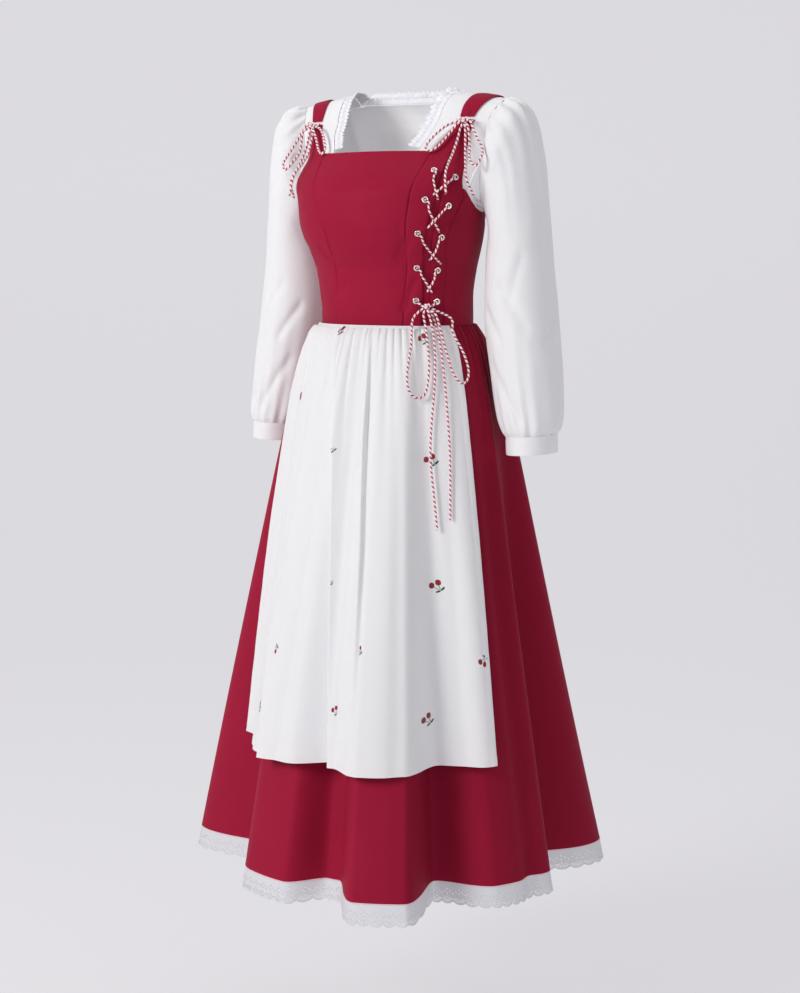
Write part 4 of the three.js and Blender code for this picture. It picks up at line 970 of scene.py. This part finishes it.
def apronRadius(angle, z):
    # Over the skirt, bridging its hollows by a third of their depth
    under = skirtRadius(angle, z)
    t = np.clip((waistZ - z) / (waistZ - hemZ), 0, 1)
    crest = skirt["spring"] + mixed(126, 356 - skirt["spring"], t)
    return under + apron["off"] + apron["bridge"] * np.maximum(0, crest - under) * eased(t * 2.5)


def apronShare(angle, z):
    # How far across the apron an angle is, from its left edge to its right
    left = np.radians(readTable(apronEdge, "left", z))
    return (angle - left) / (np.radians(readTable(apronEdge, "right", z)) - left)


apronGathers = {"count": 27, "seed": 63, "span": 1.0, "start": 0.0, "deep": (3.0, 6.5), "long": (30, 110),
                "drift": 0.00004, "narrow": 0.0062, "spread": 0.00007}
apronPuckers = {"count": 46, "seed": 64, "span": 1.0, "start": 0.0, "deep": (0.6, 2.0), "long": (9, 16),
                "drift": 0.00004, "narrow": 0.0042, "spread": 0.00006}
# Long folds: where each runs round the waist's axis, level by level, and how far its right side stands out
apronFolds = [
    {"at": [-376, -486, -611, -737, -894, -1056], "angle": [-22, -8.6, -3, 0.2, 3, 6.2],
     "step": [3, 8, 12, 16, 20, 25], "sharp": 0.7, "far": 15},
    {"at": [-376, -468, -546, -731, -853, -1000], "angle": [9, 11.4, 12.2, 15, 15.4, 15.6],
     "step": [-4, -10, -13, -12, -8, -2], "sharp": 1.1, "far": 13},
    {"at": [-800, -900, -971, -1056], "angle": [-30, -25, -22, -18.8], "step": [0, 7, 13, 18],
     "sharp": 0.8, "far": 12},
]
# Broad waves and narrow ones: angle and half width in degrees, and depth
apronWaves = [
    {"angle": 36.5, "wide": 6.5, "deep": -7.5}, {"angle": 24, "wide": 6, "deep": 3.0},
    {"angle": 57, "wide": 4.5, "deep": 4.0}, {"angle": 48, "wide": 5, "deep": -2.5},
    {"angle": -37, "wide": 6, "deep": -4}, {"angle": -30, "wide": 2.6, "deep": -3.6},
    {"angle": -12, "wide": 2.6, "deep": -3.4}, {"angle": 5, "wide": 2.2, "deep": -3.2},
    {"angle": 29, "wide": 2.6, "deep": -2.6}, {"angle": 44, "wide": 2.4, "deep": -2.6},
    {"angle": -45, "wide": 2.4, "deep": -2.6}, {"angle": 52, "wide": 2, "deep": -1.8},
]


def apronDetail(angle, z):
    # Gathers at the band; long folds, each a rise that is steep on one side and dies away on the other;
    # and broad soft waves that grow downwards
    degrees, down = np.degrees(angle), waistZ - z
    share = apronShare(angle, z)
    total = grooves(share, down, apronGathers) + grooves(share, down, apronPuckers)
    for fold in apronFolds:
        away = degrees - readTable(fold, "angle", z)
        rise = eased(away / fold["sharp"] / 2 + 0.5) * np.exp(-np.maximum(away, 0) / fold["far"])
        dip = -0.3 * np.exp(np.minimum(away, 0) / 6) * (1 - eased(away / fold["sharp"] / 2 + 0.5))
        total = total + readTable(fold, "step", z) * (rise + dip) * eased((z + 1400) / 300)
    grow = eased(down / apron["growOver"])
    for wave in apronWaves:
        total = total + wave["deep"] * grow * np.exp(-((degrees - wave["angle"]) / wave["wide"]) ** 2)
    fine = np.sin(46 * share + 1.4 * np.sin(6 * share)) * eased(down / 60)
    puff = 3.4 * np.exp(-((down - 13) / 9) ** 2) + 1.6 * np.exp(-((down - 30) / 22) ** 2)
    return total + puff + apron["slack"] * fine * np.exp(-down / 260) * 0.5


def apronFace(angle, z):
    # The apron's outer face: over the skirt, with its folds and its wall
    return plan(angle, apronRadius(angle, z) + apronDetail(angle, z) + apron["wall"] + apron["ease"], z)


def makeApron(material):
    # The panel with a turned hem along its sides and bottom, puckered beside the stitches
    u, v = shareGrid(112, 224)
    z = mixed(apron["bottom"], apron["top"], v)
    left, right = (np.radians(readTable(apronEdge, side, z)) for side in ("left", "right"))
    angle = mixed(left, right, u)
    side = np.minimum(u, 1 - u) * (right - left) * skirtRadius(angle, z)
    up = z - apron["bottom"]
    sewn = (np.exp(-((up - apron["hem"]) / apron["stitchWidth"]) ** 2)
            + np.exp(-((side - apron["sideHem"]) / apron["stitchWidth"]) ** 2))
    thickHem = (apron["hemThick"] * (1 - eased((up - apron["hem"] + 1) / 2))
                + apron["sideHemThick"] * (1 - eased((side - apron["sideHem"] + 1) / 2)))
    pucker = np.exp(-(up / 22) ** 2) * 0.5 + np.exp(-(side / 16) ** 2) * 0.4
    pucker = pucker * ripples(61, angle * 300, z, 5, 5, 9)
    points = lifted(apronFace(angle, z), thickHem - apron["stitchDepth"] * sewn + pucker * 0.5)
    makeCloth("apron_panel", points, material, ["apron_panel"], apron["wall"])


# The embroidered cherries. Each place: angle round the waist's axis, level, how wide and which way up it
# looks, and its first part and the one after its last. Each part, in millimetres: across, up, half length,
# half width, turn in degrees, and its thread, red or green
cherryPlaces = [(-17.2, -377, 0.3, 1, 0, 6), (44.2, -388, 0.7, 1, 0, 6), (-41.6, -489, 1.9, 1, 0, 1),
                (-4.0, -560, 0.5, 1, 2, 6), (44.8, -578, 1, 1, 0, 6), (2.0, -767, 0.4, 1, 2, 5),
                (45.0, -776, 1, 1, 0, 6), (-20.2, -885, 0.5, -1, 1, 6), (16.4, -868, 0.4, 1, 1, 6),
                (59.4, -891, 0.8, -1, 0, 6), (-27.2, -986, 1, 1, 0, 6), (7.6, -968, 0.5, 1, 0, 5),
                (39.4, -982, 1, 1, 0, 6)]
cherryParts = [(-5.4, 1.6, 5.6, 4.7, 80, 0), (3.6, 6.6, 5.4, 4.6, 95, 0), (1.6, -3.0, 5.4, 0.55, -28, 1),
               (5.4, -1.4, 4.6, 0.55, -68, 1), (3.4, -7.6, 4.2, 1.7, 24, 1), (9.6, -3.0, 4.4, 1.7, 50, 1)]


padThick = 0.0004


def onApron(angle, z, out):
    # Places off the apron's outer face, given round, up and out
    across = apronFace(angle + 0.004, z) - apronFace(angle - 0.004, z)
    normal = unit(np.cross(across, apronFace(angle, z + 1) - apronFace(angle, z - 1)))
    return apronFace(angle, z) + normal * out[..., None]


def makeCherries(materials):
    # Each part is a domed pad of satin stitches: a square grid drawn into an oval whose rim dips into the
    # cloth
    places = 9
    side = np.linspace(-1, 1, places)
    v, u = np.meshgrid(side, side, indexing="ij")
    x, y = u * np.sqrt(1 - v * v / 2), v * np.sqrt(1 - u * u / 2)
    dome = np.sqrt(np.clip(1 - x * x - y * y, 0, 1)) * 0.9 - 0.35
    points, kinds, uvs = [], [], []
    for angle, z, wide, up, first, last in cherryPlaces:
        for cx, cy, long, narrow, turn, kind in cherryParts[first:last]:
            c, s = np.cos(np.radians(turn)), np.sin(np.radians(turn))
            px = (cx + x * long * c - y * narrow * s) * wide
            pz = (cy + x * long * s + y * narrow * c) * up * (0.5 + 0.5 * wide)
            reach = skirtRadius(np.radians(angle) + 0 * u, z + 0 * u)
            points.append(onApron(np.radians(angle) + px / reach, z + pz, dome + 0 * u)[:, ::up])
            kinds.append(np.full((places - 1)**2, kind))
            uvs.append(np.stack([x * long, y * narrow], -1).reshape(-1, 2) * 0.001)
    faces = np.concatenate([gridFaces(places, places, False) + places**2 * k for k in range(len(points))])
    uv = np.concatenate(uvs)[faces.reshape(-1)]
    obj = buildMesh("apron_embroidery", np.array(points), faces, uv, np.concatenate(kinds))
    wall = obj.modifiers.new("wall", "SOLIDIFY")
    wall.thickness, wall.offset = padThick, -1
    showPiece(obj, [], materials)


def makeApronBand(material):
    # The narrow band over the waist seam, rounded at its top and bottom edges
    u, v = shareGrid(14, 260)
    reach = np.radians(apronReach)
    angle = mixed(-reach, reach, u)
    z = mixed(apron["bandBottom"], apron["bandTop"], v)
    seat = figureAt(angle, waistZ + 0 * angle)
    over = bodiceOut(seat) + bodice["wall"] - skirt["lift"]
    r = np.maximum(skirtRadius(angle, z, 1), skirtRadius(angle, waistZ + 0 * angle) + over) + 0.5
    curve = 1.0 - 0.8 * np.abs(2 * v - 1) ** 4 - 1.3 * (1 - v)
    makeCloth("apron_band", plan(angle, r + 0.6 + curve, z), material, ["apron_band"], 1.3)


cord = {"radius": 1.95, "laceRadius": 1.75, "sides": 12, "step": 1.1, "pitch": 7.8, "ply": 0.22,
        "thick": 0.0042, "knot": [4.8, 3.9, 5.0]}


def evenPath(places, step):
    # Places on a smooth curve through the given ones, a step apart
    dense = throughRows(places[:, None, :], np.linspace(0, len(places) - 1, 80 * (len(places) - 1) + 1))[:, 0]
    run = np.concatenate([[0], np.cumsum(np.linalg.norm(np.diff(dense, axis=0), axis=1))])
    at = np.linspace(0, run[-1], max(8, int(run[-1] / step)))
    return np.stack([np.interp(at, run, dense[:, k]) for k in range(3)], 1)


def cordFrames(path):
    # Two directions square to the path that don't turn about it: a fixed frame, turned back by the sum of
    # its own turns from place to place
    along = unit(np.gradient(path, axis=0))
    first = unit(np.cross(along, [0.31, -0.83, 0.46]))
    second = np.cross(along, first)
    carried = first[:-1] - np.sum(first[:-1] * along[1:], 1, keepdims=True) * along[1:]
    turn = np.arctan2(np.sum(carried * second[1:], 1), np.sum(carried * first[1:], 1))
    turn = np.concatenate([[0], np.cumsum(turn)])[:, None]
    return along, np.cos(turn) * first + np.sin(turn) * second, np.cos(turn) * second - np.sin(turn) * first


def cordMesh(path, radius=None, sides=None, loop=False, ply=None, capped=True):
    # A tube along a path whose section has two lobes that wind round it, with rounded ends
    radius, sides, ply = radius or cord["radius"], sides or cord["sides"], cord["ply"] if ply is None else ply
    along, first, second = cordFrames(path)
    run = np.concatenate([[0], np.cumsum(np.linalg.norm(np.diff(path, axis=0), axis=1))])
    size = np.ones(len(path))
    if capped and not loop:
        cap = np.array([0.05, 0.55, 0.85])
        back = radius * np.sqrt(1 - cap**2)[:, None]
        path = np.concatenate([path[0] - along[0] * back, path, (path[-1] + along[-1] * back)[::-1]])
        first, second = (np.concatenate([d[:1].repeat(3, 0), d, d[-1:].repeat(3, 0)])
                         for d in (first, second))
        size = np.concatenate([cap, size, cap[::-1]])
        run = np.concatenate([run[0] - back[:, 0], run, (run[-1] + back[:, 0])[::-1]])
    theta = np.arange(sides) / sides
    phase = 2 * np.pi * (theta[None, :] + run[:, None] / cord["pitch"])
    r = radius * size[:, None] * (1 - ply * (1 - np.abs(np.cos(phase))))
    turn = 2 * np.pi * theta[None, :, None]
    points = path[:, None] + r[..., None] * (first[:, None] * np.cos(turn) + second[:, None] * np.sin(turn))
    rows = len(path)
    faces = gridFaces(rows + 1 if loop else rows, sides, True) % (rows * sides)
    i, j = cellCorners(rows + 1 if loop else rows, sides + 1)
    v = np.append(run, run[-1] + cord["step"])[i] * 0.001
    uv = np.stack([j / sides, v], -1).reshape(-1, 2)
    return points.reshape(-1, 3), faces, uv, (None if loop else (sides, rows))


def joinMeshes(name, parts):
    # Several tubes as one mesh; the small holes at the tubes' poles are filled
    points, faces, uvs, start = [], [], [], 0
    for place, face, uv, poles in parts:
        points.append(place)
        faces.extend((face + start).tolist())
        uvs.append(uv)
        if poles:
            sides, rows = poles
            last = start + (rows - 1) * sides
            faces.append(list(range(start + sides - 1, start - 1, -1)))
            faces.append(list(range(last, last + sides)))
            uvs.append(np.tile(uv[:1], (sides, 1)))
            uvs.append(np.tile(uv[-1:], (sides, 1)))
        start += len(place)
    return buildMesh(name, np.concatenate(points), faces, np.concatenate(uvs))


# The ten eyelets, from the top pair down: across, up and off the cloth; then how far the lace runs on from
# each, across and down, to where it dives behind the slit
eyeletRows = {
    "inner": [115.8, 111.4, 99, 85.9, 81.5], "innerZ": [-125.5, -168, -218.5, -273, -326.8],
    "outer": [145, 137.6, 126.1, 110.4, 106.5], "outerZ": [-135, -177, -225, -277.5, -328.3],
    "seat": [0.6, 0.6, 0.6, 1, 0.7],
    "innerRun": [11, 13.8, 16.8, 15.7], "innerDrop": [41, 48, 47.7, 40.5],
    "outerRun": [-22.7, -24.7, -20.6, -13.7], "outerDrop": [25, 33, 34.5, 34],
}
eyelet = {"outer": 5.2, "hole": 2.7, "high": 1.15}


def makeEyelets(material):
    # A rolled ring: a flat oval section carried round the hole
    sides, rounds = 48, 16
    around = np.linspace(0, 2 * np.pi, sides, endpoint=False)
    section = np.linspace(0, 2 * np.pi, rounds, endpoint=False)
    middle, half = (eyelet["outer"] + eyelet["hole"]) / 2, (eyelet["outer"] - eyelet["hole"]) / 2
    r = middle + half * np.cos(section)[:, None]
    high = eyelet["high"] * (0.5 + 0.5 * np.sin(section))[:, None]
    for k in range(5):
        for edge in ("inner", "outer"):
            x, z, seat = eyeletRows[edge][k], eyeletRows[edge + "Z"][k], eyeletRows["seat"][k]
            foot, tip = onBodice(x, z, seat), onBodice(x, z, seat + 1)
            normal = unit(tip - foot)
            first = unit(np.cross(normal, [0, 0, 1.0]))
            second = np.cross(normal, first)
            ringAt = r[..., None] * (np.cos(around)[None, :, None] * first
                                     + np.sin(around)[None, :, None] * second)
            points = foot + ringAt + high[..., None] * normal
            faces = gridFaces(rounds + 1, sides, True) % (rounds * sides)
            i, j = cellCorners(rounds + 1, sides + 1)
            uv = np.stack([j * 0.0007, i * 0.0005], -1)
            name = f"eyelet_{edge}_{k + 1}"
            ring = buildMesh(f"{name}_ring", points, faces, uv)
            showPiece(ring, [name], [material])


def throughEyelet(edge, k):
    # The lace comes up through an eyelet and bends over its rim, towards the slit and down
    towards = 1 if edge == "inner" else -1
    x, z, seat = eyeletRows[edge][k], eyeletRows[edge + "Z"][k], eyeletRows["seat"][k]
    return onBodice(x + towards * np.array([0.2, 1.0, 4.2]), z + np.array([-0.6, -1.4, -4.6]),
                    seat + np.array([-1 - seat, 2.2, 3.4]))


def makeCrossings(material):
    # Each strand leaves its eyelet, lies on the cloth, crosses the slit and dives under the other edge; the
    # one from the outer eyelet passes over
    share = np.array([0.3, 0.55, 0.78, 0.93, 1.0])
    for k in range(4):
        strands = []
        for edge, heights in (("inner", [2.3, 2.4, 2.4, 1.6, -0.6]), ("outer", [2.6, 5.6, 3.4, 1.8, -0.6])):
            x = eyeletRows[edge][k] + share * eyeletRows[edge + "Run"][k]
            z = eyeletRows[edge + "Z"][k] - share * eyeletRows[edge + "Drop"][k]
            rest = onBodice(x, z, heights)
            path = evenPath(np.concatenate([throughEyelet(edge, k), rest]), cord["step"])
            strands.append(cordMesh(path, cord["laceRadius"]))
        name = f"lace_cross_{k + 1}"
        showPiece(joinMeshes(f"{name}_cord", strands), [name], [material])


# Bows: places across and below the knot, and out from the cloth
waistKnot, shoulderKnot = {"x": 94, "z": -335}, {"x": 140, "z": -46, "edge": 158}
waistBow = {
    "loop_right": [[-9, 7, 8], [-18, 22, 7], [-31, 60, 6], [-43, 110, 5], [-40, 136, 5], [-26, 144, 5],
                   [-14, 132, 5], [-7, 92, 5], [-5, 45, 6], [-4.5, 13, 7]],
    "tail_right": [[1, 11, 10.5], [4, 30, 8], [4, 65, 6], [-1, 121, 5], [-10, 190, 5], [-14, 240, 5],
                   [-12, 300, 5], [-10, 350, 5]],
    "tail_left": [[5.5, 13.6, 4.2], [11, 30, 5], [13, 65, 5], [14, 121, 5], [15, 180, 5], [15, 230, 5],
                  [13, 280, 5], [10, 334, 5]],
    "loop_left": [[11, 7.4, 9], [22, 20, 10], [35, 43, 8], [47, 72, 6], [54, 98, 5], [51, 116, 5],
                  [40, 122, 5], [28, 106, 5], [20, 70, 6], [15, 36, 11], [8, 13, 14]],
}
shoulderBow = {
    "loop_inner": [[-9, 4, 6], [-24, 10, 6], [-40, 26, 6], [-49, 42, 5], [-44, 51, 5], [-33, 43, 5],
                   [-20, 24, 6], [-9, 9, 9]],
    "tail_inner": [[-4.3, 13, 3.8], [-7, 32, 5], [-9, 58, 8], [-8, 88, 12], [-7, 112, 12]],
    "tail_outer": [[3, 14, 4.6], [4, 34, 5], [9, 66, 6], [15, 92, 7], [18, 110, 7]],
    "loop_outer": [[9, 3, 10], [17, 24, 16], [25, 50, 21], [27, 72, 22], [20, 80, 20], [13, 70, 17],
                   [9, 42, 13], [7.5, 14, 14]],
}


def waistPlace(across, below, out):
    # A place off the cloth about the waist's knot: on the bodice above the seam, over the apron below it
    across, below, out = (np.asarray(a, float) for a in np.broadcast_arrays(across, below, out))
    z = waistKnot["z"] - below
    start = onBodice(waistKnot["x"], waistKnot["z"], 0)
    high = onBodice(waistKnot["x"] + across, np.maximum(z, waistZ + 6), out + eased(below / 22) * 4.5)
    angle = np.arctan2(start[0], -start[1]) + 0 * z
    reach = np.maximum(apronRadius(angle, z), np.hypot(start[0], start[1]))
    angle = angle + across / reach
    depth = apron["gatherDepth"] * readTable(gatherFade, "depth", z)
    low = plan(angle, apronRadius(angle, z) + 1.3 + depth + out, z)
    return np.where((z > waistZ + 6)[..., None], high, low)


def shoulderPlace(across, below, out):
    # A place off the strap about the shoulder's knot; past the strap's outer edge it runs on straight
    across, below, out = (np.asarray(a, float) for a in np.broadcast_arrays(across, below, out))
    x, z = shoulderKnot["x"] + across, shoulderKnot["z"] - below
    seat = np.minimum(x, shoulderKnot["edge"])
    high = bodice["lift"] + bodice["placketRise"] + bodice["wall"] + out
    moved = figureAt(angleOf(seat, z), z) + figureNormal(seat, z) * high[..., None]
    moved[..., 0] += x - seat
    return moved


def knotMesh(centre, size):
    # A trefoil of the same cord, pulled tight
    t = np.linspace(0, 2 * np.pi, 90, endpoint=False)
    path = np.stack([np.sin(t) + 2 * np.sin(2 * t), -np.sin(3 * t) * 1.2, np.cos(t) - 2 * np.cos(2 * t)], 1)
    return cordMesh(centre + path * np.array(size) / 3, loop=True)


def makeBow(name, places, centre, side, material, table, extra=()):
    # The knot, two loops that go back into it, and two tails that end bare
    flip = np.array([side, 1, 1])
    node = "waist_knot" if name == "waist" else f"shoulder_knot_{'left' if side > 0 else 'right'}"
    knot = joinMeshes(f"{node}_cord", [knotMesh(centre * flip, cord["knot"]), *extra])
    showPiece(knot, [node], [material])
    for part, rows in table.items():
        at = places(*np.array(rows, float).T)
        ends = [mixed(at[:1], centre, 0.5), at]
        if part.startswith("loop"):
            ends.append(mixed(at[-1:], centre, 0.5))
        path = evenPath(np.concatenate(ends), cord["step"]) * flip
        node = f"waist_{part}" if name == "waist" else f"shoulder_{'left' if side > 0 else 'right'}_{part}"
        obj = showPiece(joinMeshes(f"{node}_cord", [cordMesh(path)]), [node], [material])


def makeBows(material):
    # The lace's two ends meet in the waist's bow, and a band round each strap carries a shoulder's
    centre = waistPlace(0, 0, 8)
    ends = []
    for edge, across in (("inner", -4), ("outer", 4)):
        path = np.concatenate([throughEyelet(edge, 4), waistPlace(across, 0, 7)[None]])
        ends.append(cordMesh(evenPath(path, cord["step"])))
    makeBow("waist", waistPlace, centre, 1, material, waistBow, ends)
    centre = shoulderPlace(0, 2, 8)
    for side in (1, -1):
        band = evenPath(shoulderPlace([-12, 0, 14], [-1, 1, 0], [1.8, 4, 1.8]), cord["step"])
        band = band * np.array([side, 1, 1])
        makeBow("shoulder", shoulderPlace, centre, side, material, shoulderBow, [cordMesh(band)])


view = {"place": (1.550, -2.6847, -0.226), "turn": 30.0, "down": 7.985, "lens": 67.07}
studio = {"floor": -1.62, "back": 3.4, "bend": 1.6, "half": 9.0, "paleness": (0.24, 0.24, 0.245, 1),
          "world": (0.93, 0.92, 0.95, 1), "worldStrength": 0.33, "glow": (0.735, 0.722, 0.752, 1),
          "glowStrength": 0.765}
lamps = [
    {"name": "key", "place": (-1.6, -3.6, 1.2), "aim": (0, 0, -0.5), "size": 1.8, "power": 134,
     "tint": (1, 0.995, 0.985)},
    {"name": "side", "place": (3.2, -1.6, 0.6), "aim": (0, 0, -0.6), "size": 2.0, "power": 4,
     "tint": (0.97, 0.98, 1)},
    {"name": "whiteFill", "place": (3.8, -1.9, 0.2), "aim": (0, 0, -0.6), "size": 2.4, "power": 38,
     "tint": (1, 1, 1),
     "only": "white"},
    {"name": "neckFill", "place": (0.6, -3.0, 1.6), "aim": (0, 0, -0.1), "size": 2.0, "power": 34,
     "tint": (1, 1, 1),
     "only": "neck"},
    {"name": "top", "place": (0.2, 0.6, 2.6), "aim": (0, 0, -0.6), "size": 2.4, "power": 24,
     "tint": (1, 1, 1)},
]


def makeStudio():
    # The camera, the pale sweep and the lamps
    scene = bpy.context.scene
    scene.view_settings.view_transform = "Standard"
    scene.view_settings.look = "None"
    data = bpy.data.cameras.new("camera")
    data.lens, data.sensor_width, data.clip_end = view["lens"], 36, 60
    eye = bpy.data.objects.new("camera", data)
    eye.location = view["place"]
    eye.rotation_euler = (np.radians(90 - view["down"]), 0, np.radians(view["turn"]))
    scene.collection.objects.link(eye)
    scene.camera = eye

    # One pale sheet that runs on as the floor and bends up into the wall behind, seen from the camera
    arc = np.linspace(0, np.pi / 2, 30)
    along = np.concatenate([np.linspace(-7, studio["back"], 20),
                            studio["back"] + studio["bend"] * np.sin(arc),
                            np.full(10, studio["back"] + studio["bend"])])
    high = np.concatenate([np.zeros(20), studio["bend"] * (1 - np.cos(arc)),
                           np.linspace(1.7, 7, 10)]) + studio["floor"]
    across = np.linspace(-studio["half"], studio["half"], 12)
    turn = np.radians(view["turn"])
    x = across[None] * np.cos(turn) - along[:, None] * np.sin(turn)
    y = across[None] * np.sin(turn) + along[:, None] * np.cos(turn)
    points = np.stack([x, y, high[:, None] + 0 * x], -1) * 1000
    sweep = buildMesh("studio_sweep", points, gridFaces(len(along), len(across), False))
    material, tree = newMaterial("paleSweep")
    finishMaterial(tree, {"Base Color": studio["paleness"], "Roughness": 0.95, "Specular IOR Level": 0.0,
                          "Emission Color": studio["glow"], "Emission Strength": studio["glowStrength"]})
    sweep.data.materials.append(material)

    world = bpy.data.worlds.new("studio")
    world.use_nodes = True
    world.node_tree.nodes["Background"].inputs["Color"].default_value = studio["world"]
    world.node_tree.nodes["Background"].inputs["Strength"].default_value = studio["worldStrength"]
    scene.world = world
    for lamp in lamps:
        light = bpy.data.lights.new(lamp["name"], "AREA")
        light.shape, light.size, light.energy, light.color = "DISK", lamp["size"], lamp["power"], lamp["tint"]
        obj = bpy.data.objects.new(lamp["name"], light)
        if "only" in lamp:
            # A shadowless reflector that lightens the white cloth alone
            light.use_shadow = False
            obj.light_linking.receiver_collection = litCloth[lamp["only"]]
        obj.location = lamp["place"]
        aim = np.array(lamp["aim"]) - np.array(lamp["place"])
        flat = float(np.hypot(aim[0], aim[1]))
        obj.rotation_euler = (float(np.arctan2(flat, -aim[2])), 0, float(np.arctan2(-aim[0], aim[1])))
        scene.collection.objects.link(obj)


makeStudio()
print("studio ready")
red, white = makeCotton("redCotton", redCotton), makeCotton("whiteCotton", whiteCotton)
hemWhite = makeEyeletLace("hemLace", eyeletLace, hemPattern["pitch"], hemHoles())
neckWhite = makeEyeletLace("neckLace", eyeletLace, neckPattern["pitch"], neckPattern["holes"])
striped = makeTwistedCord("twistedCord", twistedCord)
piping = makeThread("pinkPiping")
metal = makeMetal("eyeletMetal")
print("materials ready")
makeBodice(red)
makeStrap("strap_left", 1, red)
makeStrap("strap_right", -1, red)
print("bodice ready")
blouseBody("blouse_front", -1, wayOf(blouse["frontTop"], -1), 90, 40, white, 33)
blouseBody("blouse_back", 1, blouse["backWay"], 90, 90, white, 34)
makeYoke("blouse_yoke_left", 1, white)
makeYoke("blouse_yoke_right", -1, white)
makeNeckFrill(neckWhite)
makeSleeve("sleeve_left", 1, white)
makeSleeve("sleeve_right", -1, white)
makeCuff("cuff_left", 1, white)
makeCuff("cuff_right", -1, white)
print("blouse ready")
makeSkirt(red)
makeHemLace(hemWhite, piping)
print("skirt ready")
makeApron(white)
makeApronBand(white)
makeCherries([makeThread("redThread"), makeThread("greenThread")])
print("apron ready")
makeEyelets(metal)
makeCrossings(striped)
makeBows(striped)
print("cords ready")
